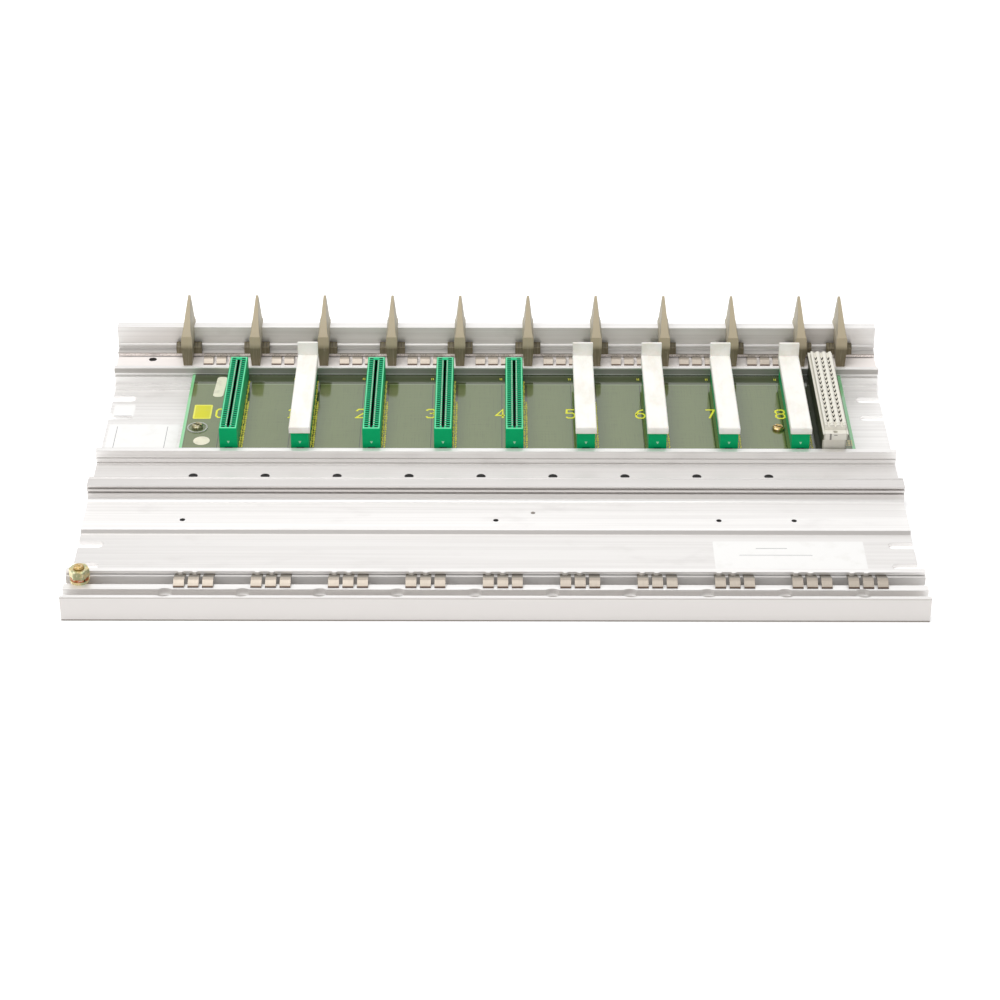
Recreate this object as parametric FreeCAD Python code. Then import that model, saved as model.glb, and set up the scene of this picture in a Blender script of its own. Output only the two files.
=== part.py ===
"""Open card rack: one aluminium extrusion that carries a backplane board and plug-in module slots.

The drawing axes are X along the rack, Y from its lower edge to its upper edge and Z out of the
back face that is screwed to a cabinet. The finished pieces are moved so that the origin is the
middle of the back face. All sizes are in millimetres.
"""
import FreeCAD
import Part
import math
import os

Vector = FreeCAD.Vector
same_point = 1e-6
ALONG = Vector(1, 0, 0)
UP_THE_RACK = Vector(0, 1, 0)
OUT = Vector(0, 0, 1)

# Length of the rack, made up of its slots
slot_count = 9
slot_pitch = 43.18
left_margin = 45.5
interface_bay = 25.6
right_margin = 22.88

# Section of the extrusion, from the lower edge to the upper edge
wall = 2.5
front_wall_rise = 2.5
screw_groove_width = 9.6
screw_groove_floor = 5.0
rib_width = 5.0
rib_height = 13.0
tee_mouth = 8.0
tee_lip = 5.0
tee_undercut = 2.3
clamp_ledge = 1.7
lip_width = 3.5
lip_roof = 1.7
slit_height = 0.6
slit_depth = 2.2
lower_plate_width = 55.0
step_run = 1.6
raised_height = 4.5
band_width = 31.6
band_fillet = 2.5
tee_rail_width = 10.5
tee_rail_height = 14.5
tee_rail_nose = 1.0
tee_rail_groove = 1.4
tee_rail_groove_pitch = 2.8
bead_groove = 0.8
valley_width = 30.5
board_rail_width = 3.7
board_rail_roof = 1.7
front_groove_depth = 0.9
front_groove_height = 0.8
front_groove_pitch = 3.2
foot_ledge_width = 3.0
foot_ledge_height = 5.5
top_lip_width = 2.2
top_lip_rise = 3.8
channel_width = 23.8
channel_floor = 13.5
upper_clamp_width = 5.2
upper_clamp_height = 2.2
flange_wall = 2.5
flange_height = 32.0
flange_ridge = 1.3
flange_ridge_rise = 2.9
flange_lip_width = 6.5
flange_lip_return = 3.0

# Holes and slots in the extrusion
rack_slot_length = 14.5
rack_slot_width = 6.5
rack_slot_spacing_outer = 190.5
rack_slot_spacing_inner = 146.05
rack_slot_shift = 2.5
module_screw_recess = 12.0
module_screw_recess_depth = 4.0
module_screw_bore = 4.2
module_screw_offset = 11.6
valley_hole = 5.5
valley_hole_offset = 14.1
valley_hole_from_rail = 13.0
band_hole = 3.2
band_hole_from_step = 10.5
band_hole_x = (-183.3, 0.0, 130.5, 174.5)
channel_hole = 5.0
channel_hole_from_end = 22.4
channel_hole_from_lip = 15.0
stake_width = 3.4
stake_nose = 1.6
stake_reach = 0.9

# Backplane board in the grooves of its two rails
board_level = 10.4
board_thickness = 1.6
board_groove_depth = 1.6
board_groove_gap = 0.3
board_edge_clearance = 0.3
board_left_inset = 3.9
board_right_inset = 0.9

# Slot connectors, one behind each module slot
connector_offset = 34.2
connector_width = 10.8
connector_end_wall = 3.76
connector_height = 14.25
connector_from_rail = 2.3
socket_back_gap = 0.4
connector_chamfer = 0.5
connector_slot_width = 1.5
connector_slot_depth = 9.0
contact_count = 32
contact_pitch = 2.54
contact_cell_length = 1.5
contact_cell_reach = 3.9
contact_cell_depth = 3.0
key_notch_width = 4.6
key_notch_height = 1.1
key_notch_depth = 1.2

# Dust caps over some of the slot connectors
capped_slots = (1, 5, 6, 7, 8)
cap_wall = 0.8
cap_clearance = 0.15
cap_top = 1.5
cap_skirt = 2.8
cap_tab_height = 9.0
cap_tab_thickness = 1.5
cap_chamfer = 0.5

# Interface connector at the right end
interface_offset = 11.2
interface_width = 12.8
interface_end_wall = 4.76
interface_height = 18.0
interface_from_rail = 1.6
interface_rows = 16
interface_columns = 3
interface_row_pitch = 5.08
interface_column_pitch = 3.9
interface_hole = 1.5
interface_hole_depth = 5.0
interface_rib_radius = 1.6
interface_ledge = 0.9
interface_ledge_height = 14.4
interface_ear_width = 15.2
interface_ear_length = 4.6
interface_ear_thickness = 4.3
interface_ear_bore = 2.8

# Guide fins in the upper channel
guide_foot_width = 5.4
guide_width = 7.0
guide_widest_height = 27.0
guide_taper_height = 32.0
guide_blade_width = 5.2
guide_blade_height = 34.5
guide_tip_width = 1.5
guide_height = 48.0
guide_shoulder_height = 33.0
guide_shoulder_rise = 7.0
guide_shoulder_run = 2.0
guide_front_from_lip = 7.0
guide_brow_run = 13.5
guide_brow_rise = 9.0
guide_rear_overhang = 7.0
guide_crown_height = 41.0
guide_crown_inset = 0.9
guide_rear_height = 31.0
guide_rear_inset = 3.6
guide_hook_bottom = 28.0
guide_hook_inset = 0.4
guide_clearance = 0.2
ear_width = 16.0
ear_thickness = 4.6
ear_height = 6.2
ear_shoulder = 4.5

# Contact springs
tongue_width = 6.1
tongue_pitch = 8.1
tongue_count = 3
end_tongue_count = 2
spring_thickness = 0.4
spring_rise = 2.6
spring_steps = 6
lower_spring_offset = 27.1
upper_spring_offset = 21.0
lower_end_spring_offset = 15.2
upper_spring_reach = 10.5
lower_spring_landing = 1.6
spring_end_gap = 0.3

# Earth terminal in the tee channel
earth_from_end = 8.7
earth_thread = 6.0
earth_stud_length = 14.7
earth_head_across = 10.0
earth_head_height = 4.0
earth_nut_across = 10.0
earth_nut_height = 5.0
earth_washer_clearance = 0.1
earth_washer_thickness = 1.4
lock_washer_inset = 0.4
lock_washer_thickness = 1.6
lock_washer_split = 1.0
lock_washer_split_turn = 40
nut_chamfer_angle = 30
thread_clearance = 0.1
thread_chamfer = 0.75

# Screws that hold the board
board_screw_from_rail = 26.8
left_screw_offset = 13.0
right_screw_offset = 23.0
board_screw_head = 7.0
board_screw_head_height = 2.0
board_screw_thread = 3.5
board_screw_slot = 1.0
board_screw_slot_depth = 0.8
board_screw_slot_turn = 60
board_screw_chamfer = 0.7
board_post_across = 7.0
ring_diameter = 12.6
ring_thickness = 0.6

# Stations along the rack
rack_length = left_margin + slot_count * slot_pitch + interface_bay + right_margin
rack_left = -rack_length / 2
rack_right = rack_length / 2
slot_guide_x = [rack_left + left_margin + k * slot_pitch for k in range(slot_count + 1)]
guide_x = slot_guide_x + [rack_right - right_margin]
connector_x = [x + connector_offset for x in slot_guide_x[:slot_count]]
interface_x = slot_guide_x[slot_count] + interface_offset

# Sockets
connector_length = contact_count * contact_pitch + 2 * connector_end_wall
interface_length = interface_rows * interface_row_pitch + 2 * interface_end_wall
bay_width = socket_back_gap + max(connector_from_rail + connector_length,
                                  interface_from_rail + interface_length)

# Stations up the rack
rib_front = wall + screw_groove_width
rib_back = rib_front + rib_width
ledge_front = rib_back + tee_mouth
lip_front = ledge_front + clamp_ledge
lip_back = lip_front + lip_width
step_front = lip_back + lower_plate_width
step_back = step_front + step_run
tee_rail_front = step_back + band_width
tee_rail_back = tee_rail_front + tee_rail_width
board_rail_front = tee_rail_back + valley_width
board_rail_back = board_rail_front + board_rail_width
top_rail_front = board_rail_back + bay_width
top_lip_back = top_rail_front + top_lip_width
flange_front = top_lip_back + channel_width
flange_back = flange_front + flange_wall
rack_height = flange_front + flange_lip_width
clamp_front = flange_front - upper_clamp_width

# Washers of the earth terminal, which fit in front of the lip
earth_washer_diameter = tee_mouth + 2 * (clamp_ledge - earth_washer_clearance)
lock_washer_diameter = earth_washer_diameter - 2 * lock_washer_inset

# Levels out of the back face
front_wall_height = rib_height + front_wall_rise
lip_height = rib_height + slit_height + lip_roof
clamp_top = channel_floor + slit_height + upper_clamp_height
flange_ridge_height = clamp_top + flange_ridge_rise
top_lip_height = channel_floor + top_lip_rise
board_top = board_level + board_thickness
board_gap_top = board_top + board_groove_gap
board_rail_height = board_gap_top + board_rail_roof
connector_top = board_top + connector_height
overall_height = rack_height + guide_rear_overhang


def point(y, z, x=0.0):
    return Vector(x, y, z)


def outline(*stations):
    """Closed face in the section plane. A station is (y, z), or a pair of them for an arc."""
    edges = []
    start = point(*stations[0])
    here = start
    for station in stations[1:]:
        if isinstance(station[0], tuple):
            middle = point(*station[0])
            there = point(*station[1])
            edges.append(Part.Arc(here, middle, there).toShape())
        else:
            there = point(*station)
            edges.append(Part.makeLine(here, there))
        here = there
    if not here.isEqual(start, same_point):
        edges.append(Part.makeLine(here, start))
    return Part.Face(Part.Wire(edges))


def along(face, x_start, x_end):
    """Solid of a section face drawn out along the rack."""
    return face.translated(Vector(x_start, 0, 0)).extrude(ALONG * (x_end - x_start))


def block(x_middle, width, y_start, y_end, z_start, z_end):
    corner = Vector(x_middle - width / 2, y_start, z_start)
    return Part.makeBox(width, y_end - y_start, z_end - z_start, corner)


def drum(diameter, x, y, z_start, z_end):
    return Part.makeCylinder(diameter / 2, z_end - z_start, Vector(x, y, z_start), OUT)


def hexagon(across_flats, x, y, z_start, z_end):
    radius = across_flats / math.sqrt(3)
    corners = [
        Vector(x + radius * math.cos(a), y + radius * math.sin(a), z_start)
        for a in (math.pi * k / 3 for k in range(7))
    ]
    return Part.Face(Part.makePolygon(corners)).extrude(OUT * (z_end - z_start))


def chamfered_top(solid, chamfer, level):
    """Solid with a chamfer on each edge that lies at the given level."""
    edges = [edge for edge in solid.Edges
             if all(abs(v.Z - level) < same_point for v in edge.Vertexes)]
    return solid.makeChamfer(chamfer, edges)


def fused(solids):
    return solids[0].multiFuse(solids[1:]).removeSplitter()


# Extrusion

def rack_envelope():
    """Outer section of the extrusion, before its grooves are cut."""
    fillet_mid = band_fillet * (1 - math.sqrt(0.5))
    nose_low = tee_rail_height - 3 * tee_rail_nose
    ridge_low = flange_ridge_height - flange_ridge
    ridge_high = flange_ridge_height + flange_ridge
    return outline(
        (0, 0),
        (0, front_wall_height),
        (wall, front_wall_height),
        (wall, rib_height),
        (lip_front, rib_height),
        (lip_front, lip_height),
        (lip_back, lip_height),
        (lip_back, wall),
        (step_front, wall),
        (step_back, raised_height),
        (tee_rail_front - band_fillet, raised_height),
        ((tee_rail_front - fillet_mid, raised_height + fillet_mid),
         (tee_rail_front, raised_height + band_fillet)),
        (tee_rail_front, tee_rail_height),
        (tee_rail_back, tee_rail_height),
        (tee_rail_back, nose_low),
        (tee_rail_back - tee_rail_nose, nose_low - tee_rail_nose),
        (tee_rail_back - tee_rail_nose, raised_height),
        (board_rail_front, raised_height),
        (board_rail_front, board_rail_height),
        (board_rail_back, board_rail_height),
        (board_rail_back, wall),
        (top_rail_front - foot_ledge_width, wall),
        (top_rail_front - foot_ledge_width, foot_ledge_height),
        (top_rail_front, foot_ledge_height),
        (top_rail_front, top_lip_height),
        (top_lip_back, top_lip_height),
        (top_lip_back, channel_floor),
        (clamp_front, channel_floor),
        (clamp_front, clamp_top),
        (flange_front, clamp_top),
        (flange_front, ridge_low),
        ((flange_front - flange_ridge, flange_ridge_height), (flange_front, ridge_high)),
        (flange_front, flange_height),
        (rack_height, flange_height),
        (rack_height, flange_height - flange_lip_return - wall),
        (rack_height - wall / 2, flange_height - flange_lip_return - wall),
        (rack_height - wall / 2, flange_height - wall),
        (flange_back, flange_height - wall),
        (flange_back, 0),
    )


def rectangle(y_start, y_end, z_start, z_end):
    return outline((y_start, z_start), (y_end, z_start), (y_end, z_end), (y_start, z_end))


def rail_grooves():
    """Grooves that open to the front or to the bays."""
    tee_top = rib_height - tee_lip
    nose = tee_rail_height - tee_rail_nose
    bead_y = tee_rail_back - 2 * bead_groove
    grooves = []
    for k in range(2):
        top = nose - k * tee_rail_groove_pitch
        grooves.append(rectangle(tee_rail_front, tee_rail_front + wall,
                                 top - tee_rail_groove, top))
        low = raised_height + front_groove_height + k * front_groove_pitch
        grooves.append(rectangle(board_rail_front, board_rail_front + front_groove_depth,
                                 low, low + front_groove_height))
    return grooves + [
        rectangle(wall, rib_front, screw_groove_floor, rib_height),
        rectangle(rib_back, ledge_front, tee_top, rib_height),
        rectangle(rib_back - tee_undercut, lip_back - wall, wall, tee_top),
        rectangle(lip_front, lip_front + slit_depth, rib_height, rib_height + slit_height),
        outline(
            (bead_y - bead_groove, tee_rail_height),
            (bead_y, tee_rail_height - bead_groove),
            (bead_y + bead_groove, tee_rail_height),
        ),
        rectangle(board_rail_back - board_groove_depth, board_rail_back,
                  board_level, board_gap_top),
        rectangle(top_rail_front, top_rail_front + board_groove_depth,
                  board_level, board_gap_top),
        rectangle(clamp_front, clamp_front + slit_depth,
                  channel_floor, channel_floor + slit_height),
    ]


def back_hollows():
    """Hollows on the cabinet side, which leave one wall under every raised stretch."""
    raised_underside = raised_height - wall
    groove_stack = tee_rail_groove_pitch + tee_rail_groove
    rail_underside = tee_rail_height - tee_rail_nose - groove_stack - wall / 2
    return [
        rectangle(step_back + wall / 2, tee_rail_front, 0, raised_underside),
        rectangle(tee_rail_front + wall, tee_rail_back - wall - tee_rail_nose, 0, rail_underside),
        rectangle(tee_rail_back, board_rail_front - wall, 0, raised_underside),
        rectangle(top_rail_front + board_rail_width, flange_front, 0, channel_floor - wall),
    ]


def end_slots():
    """Open-ended slots for the screws that hold the rack in its cabinet."""
    middle = rack_height / 2 + rack_slot_shift
    cuts = []
    for spacing in (rack_slot_spacing_outer, rack_slot_spacing_inner):
        for y in (middle - spacing / 2, middle + spacing / 2):
            for end, inward in ((rack_left, 1), (rack_right, -1)):
                round_x = end + inward * (rack_slot_length - rack_slot_width / 2)
                half = abs(round_x - end)
                cuts.append(block((end + round_x) / 2, half, y - rack_slot_width / 2,
                                  y + rack_slot_width / 2, 0, wall))
                cuts.append(drum(rack_slot_width, round_x, y, 0, wall))
    return cuts


def drilled_holes():
    screw_y = wall + screw_groove_width / 2
    recess_floor = rib_height - module_screw_recess_depth
    cuts = []
    for x in slot_guide_x:
        screw_x = x + module_screw_offset
        cuts.append(drum(module_screw_recess, screw_x, screw_y, recess_floor, front_wall_height))
        cuts.append(drum(module_screw_bore, screw_x, screw_y, 0, screw_groove_floor))
    for x in slot_guide_x[:slot_count]:
        cuts.append(drum(valley_hole, x + valley_hole_offset,
                         board_rail_front - valley_hole_from_rail, 0, raised_height))
    for x in band_hole_x:
        cuts.append(drum(band_hole, x, step_back + band_hole_from_step, 0, raised_height))
    cuts.append(drum(channel_hole, rack_left + channel_hole_from_end,
                     top_lip_back + channel_hole_from_lip, 0, channel_floor))
    return cuts


def lower_spring_centres():
    last = slot_guide_x[slot_count] + lower_end_spring_offset
    return [x + lower_spring_offset for x in slot_guide_x[:slot_count]] + [last]


def upper_spring_centres():
    last = (guide_x[-2] + guide_x[-1]) / 2
    return [x + upper_spring_offset for x in slot_guide_x[:slot_count]] + [last]


def stakes():
    """Punched noses of the lip that hold down the first two tongues of each spring."""
    low = rib_height + spring_thickness
    root = lip_front + stake_reach
    tip = lip_front - stake_reach
    half = stake_width / 2
    nose = stake_nose / 2
    pins = []
    for x in lower_spring_centres():
        for middle in (x - tongue_pitch, x):
            corners = [Vector(middle + across, y, low) for across, y in (
                (-half, root), (-half, lip_front), (-nose, tip), (nose, tip),
                (half, lip_front), (half, root), (-half, root))]
            pins.append(Part.Face(Part.makePolygon(corners)).extrude(OUT * (lip_height - low)))
    return pins


def rack_profile():
    section = rack_envelope().cut(rail_grooves() + back_hollows())
    body = along(section, rack_left, rack_right)
    body = body.cut(end_slots() + drilled_holes())
    return fused([body] + stakes())


# Backplane board

def board_span():
    low = board_rail_back - board_groove_depth + board_edge_clearance
    high = top_rail_front + board_groove_depth - board_edge_clearance
    return low, high


def board_screw_places():
    y = board_rail_back + board_screw_from_rail
    left = slot_guide_x[0] + left_screw_offset
    right = slot_guide_x[slot_count - 1] + right_screw_offset
    return [(left, y), (right, y)]


def backplane_board():
    low, high = board_span()
    left = guide_x[0] + board_left_inset
    right = guide_x[-1] - board_right_inset
    board = block((left + right) / 2, right - left, low, high, board_level, board_top)
    bore = board_screw_thread + 2 * thread_clearance
    return board.cut([drum(bore, x, y, board_level, board_top) for x, y in board_screw_places()])


def board_screw(x, y, under_head):
    head_top = under_head + board_screw_head_height
    chamfer = board_screw_chamfer
    cone = Part.makeCone(board_screw_head / 2, board_screw_head / 2 - chamfer, chamfer,
                         Vector(x, y, head_top - chamfer), OUT)
    head = drum(board_screw_head, x, y, under_head, head_top - chamfer)
    shank = drum(board_screw_thread, x, y, wall, under_head)
    slot = block(x, board_screw_slot, y - board_screw_head, y + board_screw_head,
                 head_top - board_screw_slot_depth, head_top)
    slot.rotate(Vector(x, y, 0), OUT, board_screw_slot_turn)
    return fused([head, cone, shank]).cut(slot)


def board_screw_ring(x, y):
    ring = drum(ring_diameter, x, y, board_top, board_top + ring_thickness)
    return ring.cut(drum(board_screw_thread + 2 * thread_clearance, x, y,
                         board_top, board_top + ring_thickness))


def board_posts():
    """Hexagon posts between the extrusion and the board, one round each screw."""
    posts = []
    for x, y in board_screw_places():
        post = hexagon(board_post_across, x, y, wall, board_level)
        bore = board_screw_thread + 2 * thread_clearance
        posts.append(post.cut(drum(bore, x, y, wall, board_level)))
    return Part.makeCompound(posts)


# Slot connectors

def connector_span():
    low = board_rail_back + connector_from_rail
    return low, low + connector_length


def comb_cells(x):
    """One outline for the card slot with a contact cell on both sides at every position."""
    low, high = connector_span()
    half_slot = connector_slot_width / 2
    reach = contact_cell_reach
    first = (low + high) / 2 - (contact_count - 1) * contact_pitch / 2
    starts = [first + k * contact_pitch - contact_cell_length / 2 for k in range(contact_count)]
    right = []
    for y in starts:
        right += [(half_slot, y), (reach, y), (reach, y + contact_cell_length),
                  (half_slot, y + contact_cell_length)]
    left = [(-across, y) for across, y in reversed(right)]
    top = connector_top - contact_cell_depth
    corners = [Vector(x + across, y, top) for across, y in right + left]
    face = Part.Face(Part.makePolygon(corners + corners[:1]))
    return face.extrude(OUT * contact_cell_depth)


def card_slot(x):
    low, high = connector_span()
    margin = (connector_length - contact_count * contact_pitch) / 2
    return block(x, connector_slot_width, low + margin, high - margin,
                 connector_top - connector_slot_depth, connector_top)


def slot_connector(slot):
    low, high = connector_span()
    x = connector_x[slot]
    body = chamfered_top(block(x, connector_width, low, high, board_top, connector_top),
                         connector_chamfer, connector_top)
    notch = block(x, key_notch_width, low, low + key_notch_depth,
                  board_top, board_top + key_notch_height)
    cuts = [card_slot(x), notch]
    if slot not in capped_slots:
        cuts.append(comb_cells(x))
    return body.cut(cuts)


def dust_cap(slot):
    low, high = connector_span()
    x = connector_x[slot]
    inner = connector_width + 2 * cap_clearance
    outer = inner + 2 * cap_wall
    front = low - cap_clearance - cap_wall
    back = high + cap_clearance + cap_wall
    bottom = connector_top - cap_skirt
    top = connector_top + cap_top
    shell = chamfered_top(block(x, outer, front, back, bottom, top), cap_chamfer, top)
    tab = chamfered_top(block(x, outer, back - cap_tab_thickness, back, bottom,
                              top + cap_tab_height), cap_chamfer, top + cap_tab_height)
    hollow = block(x, inner, front + cap_wall, back - cap_wall, bottom, connector_top)
    return fused([shell, tab]).cut(hollow)


# Interface connector

def interface_ribs(low, high, top):
    """Rounded ribs along the face, one on each side of every column of holes."""
    count = interface_columns + 1
    radius = interface_rib_radius
    ribs = []
    for k in range(count):
        x = interface_x + (k - (count - 1) / 2) * interface_column_pitch
        ribs.append(Part.makeCylinder(radius, high - low, Vector(x, low, top - radius),
                                      UP_THE_RACK))
    limits = block(interface_x, interface_width, low, high, top - 2 * radius, top)
    return [rib.common(limits) for rib in ribs]


def interface_holes(low, high, top):
    half = interface_hole / 2
    holes = []
    for row in range(interface_rows):
        y = (low + high) / 2 + (row - (interface_rows - 1) / 2) * interface_row_pitch
        for column in range(interface_columns):
            across = (column - (interface_columns - 1) / 2) * interface_column_pitch
            holes.append(block(interface_x + across, interface_hole, y - half, y + half,
                               top - interface_hole_depth, top))
    return holes


def interface_connector():
    """Socket body with a ribbed face, a ledge along its sides and a bored ear at each end."""
    low = board_rail_back + interface_from_rail
    high = low + interface_length
    top = board_top + interface_height
    ledge_top = board_top + interface_ledge_height
    ear_bottom = ledge_top - interface_ear_thickness
    body = block(interface_x, interface_width, low, high, board_top,
                 top - interface_rib_radius)
    base = block(interface_x, interface_width + 2 * interface_ledge, low, high,
                 board_top, ledge_top)
    ears = block(interface_x, interface_ear_width, low - interface_ear_length,
                 high + interface_ear_length, ear_bottom, ledge_top)
    bores = [drum(interface_ear_bore, interface_x, y, ear_bottom, ledge_top)
             for y in (low - interface_ear_length / 2, high + interface_ear_length / 2)]
    solid = fused([body, base, ears] + interface_ribs(low, high, top))
    return solid.cut(interface_holes(low, high, top) + bores)


# Guide fins

def guide_side():
    """Side outline of a guide fin: a foot in the channel, a sloping brow and a hook at the rear."""
    front = top_lip_back + guide_front_from_lip
    rear = rack_height + guide_rear_overhang
    shoulder_y = front + guide_shoulder_run
    hook_front = rack_height + guide_clearance
    hook_rear = rear - guide_rear_inset
    return outline(
        (front, channel_floor),
        (front, guide_shoulder_height - guide_shoulder_rise),
        (shoulder_y, guide_shoulder_height),
        ((shoulder_y + guide_brow_run, guide_shoulder_height + guide_brow_rise),
         (rear, guide_height)),
        ((rear - guide_crown_inset, guide_crown_height), (hook_rear, guide_rear_height)),
        (hook_rear - guide_hook_inset, guide_hook_bottom),
        (hook_front, guide_hook_bottom),
        (hook_front, flange_height + guide_clearance),
        (flange_front - guide_clearance, flange_height + guide_clearance),
        (flange_front - guide_clearance, flange_ridge_height + 2 * flange_ridge),
        (flange_front - flange_ridge - guide_clearance, flange_ridge_height + flange_ridge),
        (flange_front - flange_ridge - guide_clearance, clamp_top),
        (clamp_front - guide_clearance, clamp_top),
        (clamp_front - guide_clearance, channel_floor),
    )


def guide_front_view(x):
    """Front outline of a fin: a foot that widens to its shoulders, with a wedge above them."""
    right = [(guide_foot_width / 2, channel_floor), (guide_width / 2, guide_widest_height),
             (guide_width / 2, guide_taper_height), (guide_blade_width / 2, guide_blade_height),
             (guide_tip_width / 2, guide_height)]
    corners = right + [(-across, z) for across, z in reversed(right)]
    face = Part.Face(Part.makePolygon([Vector(x + a, 0, z) for a, z in corners + corners[:1]]))
    return face.extrude(UP_THE_RACK * 2 * overall_height)


def card_guide(x):
    fin = along(guide_side(), x - guide_width / 2, x + guide_width / 2)
    fin = fin.common(guide_front_view(x))
    ear_back = flange_front - flange_ridge - guide_clearance
    ear_side = outline(
        (ear_back - ear_thickness, clamp_top),
        (ear_back, clamp_top),
        (ear_back, clamp_top + ear_height),
        (ear_back - ear_thickness / 2, clamp_top + ear_height),
        (ear_back - ear_thickness, clamp_top + ear_shoulder),
    )
    ears = along(ear_side, x - ear_width / 2, x + ear_width / 2)
    return fused([fin, ears])


# Contact springs

def tongue_section(root, mouth, tip, level):
    """Side outline of one tongue, clamped at its root and bowed between mouth and tip."""
    shares = [k / spring_steps for k in range(spring_steps + 1)]
    bow = [(mouth + (tip - mouth) * share, level + spring_rise * math.sin(math.pi * share))
           for share in shares]
    top = [(y, z + spring_thickness) for y, z in reversed(bow)]
    return outline((root, level), *bow, *top, (root, level + spring_thickness))


def contact_spring(centre, count, root, mouth, tip, level):
    """Tongues with a bow each, which share one clamped strip."""
    section = tongue_section(root, mouth, tip, level)
    half_span = (count - 1) * tongue_pitch / 2 + tongue_width / 2
    side = 1 if root > mouth else -1
    strip = outline(
        (root, level),
        (root - side * slit_depth / 2, level),
        (root - side * slit_depth / 2, level + spring_thickness),
        (root, level + spring_thickness),
    )
    solids = [along(strip, centre - half_span, centre + half_span)]
    for k in range(count):
        x = centre + (k - (count - 1) / 2) * tongue_pitch
        solids.append(along(section, x - tongue_width / 2, x + tongue_width / 2))
    return fused(solids)


def lower_contact_spring(centre):
    root = lip_front + slit_depth - spring_end_gap
    mouth = lip_front - stake_reach - spring_end_gap
    return contact_spring(centre, tongue_count, root, mouth,
                          rib_front + lower_spring_landing, rib_height)


def upper_contact_spring(centre, count):
    root = clamp_front + slit_depth - spring_end_gap
    return contact_spring(centre, count, root, clamp_front - spring_end_gap,
                          clamp_front - upper_spring_reach, channel_floor)


# Earth terminal

def earth_place():
    return rack_left + earth_from_end, (rib_back + ledge_front) / 2


def earth_stud():
    x, y = earth_place()
    head_top = rib_height - tee_lip
    head = hexagon(earth_head_across, x, y, head_top - earth_head_height, head_top)
    length = earth_stud_length
    chamfer = thread_chamfer
    shank = drum(earth_thread, x, y, head_top, head_top + length - chamfer)
    cone = Part.makeCone(earth_thread / 2, earth_thread / 2 - chamfer, chamfer,
                         Vector(x, y, head_top + length - chamfer), OUT)
    return fused([head, shank, cone])


def flat_ring(outer, thickness, level):
    x, y = earth_place()
    bore = earth_thread + 2 * thread_clearance
    return drum(outer, x, y, level, level + thickness).cut(drum(bore, x, y, level,
                                                                 level + thickness))


def earth_washer():
    return flat_ring(earth_washer_diameter, earth_washer_thickness, rib_height)


def earth_lock_washer():
    x, y = earth_place()
    level = rib_height + earth_washer_thickness
    ring = flat_ring(lock_washer_diameter, lock_washer_thickness, level)
    split = block(x, lock_washer_split, y - lock_washer_diameter, y,
                  level, level + lock_washer_thickness)
    split.rotate(Vector(x, y, 0), OUT, lock_washer_split_turn)
    return ring.cut(split)


def earth_nut():
    """Hexagon nut with its upper corners turned off."""
    x, y = earth_place()
    level = rib_height + earth_washer_thickness + lock_washer_thickness
    top = level + earth_nut_height
    crown = earth_nut_across / 2
    spread = crown + earth_nut_height / math.tan(math.radians(nut_chamfer_angle))
    cone = Part.makeCone(spread, crown, earth_nut_height, Vector(x, y, level), OUT)
    bore = drum(earth_thread + 2 * thread_clearance, x, y, level, top)
    return hexagon(earth_nut_across, x, y, level, top).common(cone).cut(bore)


def make_parts():
    parts = {
        "rack_profile": rack_profile(),
        "backplane_board": backplane_board(),
        "board_posts": board_posts(),
        "interface_connector": interface_connector(),
        "earth_stud": earth_stud(),
        "earth_washer": earth_washer(),
        "earth_lock_washer": earth_lock_washer(),
        "earth_nut": earth_nut(),
    }
    left, right = board_screw_places()
    parts["board_screw_ring"] = board_screw_ring(*left)
    parts["board_screw_left"] = board_screw(*left, board_top + ring_thickness)
    parts["board_screw_right"] = board_screw(*right, board_top)
    for slot in range(slot_count):
        parts[f"slot_connector_{slot}"] = slot_connector(slot)
    for slot in capped_slots:
        parts[f"dust_cap_{slot}"] = dust_cap(slot)
    for number, x in enumerate(guide_x):
        parts[f"card_guide_{number}"] = card_guide(x)
    for number, x in enumerate(lower_spring_centres()):
        parts[f"lower_contact_spring_{number}"] = lower_contact_spring(x)
    for number, x in enumerate(upper_spring_centres()):
        count = tongue_count if number < slot_count else end_tongue_count
        parts[f"upper_contact_spring_{number}"] = upper_contact_spring(x, count)
    return parts


def write_parts():
    os.makedirs("parts", exist_ok=True)
    to_origin = Vector(0, -overall_height / 2, 0)
    for name, shape in make_parts().items():
        placed = shape.translated(to_origin)
        placed.exportStep(f"parts/{name}.step")
        print(f"{name}: {len(placed.Solids)} solid(s), volume {placed.Volume:.1f},"
              f" valid {placed.isValid()}")


write_parts()
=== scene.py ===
"""Looks of the open card rack: finishes for its solids, board print, contacts, labels and stage.

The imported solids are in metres, with +X along the rack, +Y from its lower edge to its upper edge
and +Z up from the side that it lies on. Shader places are in millimetres in the same frame.
"""
import math

import bmesh
import bpy
from bpy.props import FloatProperty, FloatVectorProperty, IntProperty, PointerProperty
from mathutils import Matrix, Vector


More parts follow.
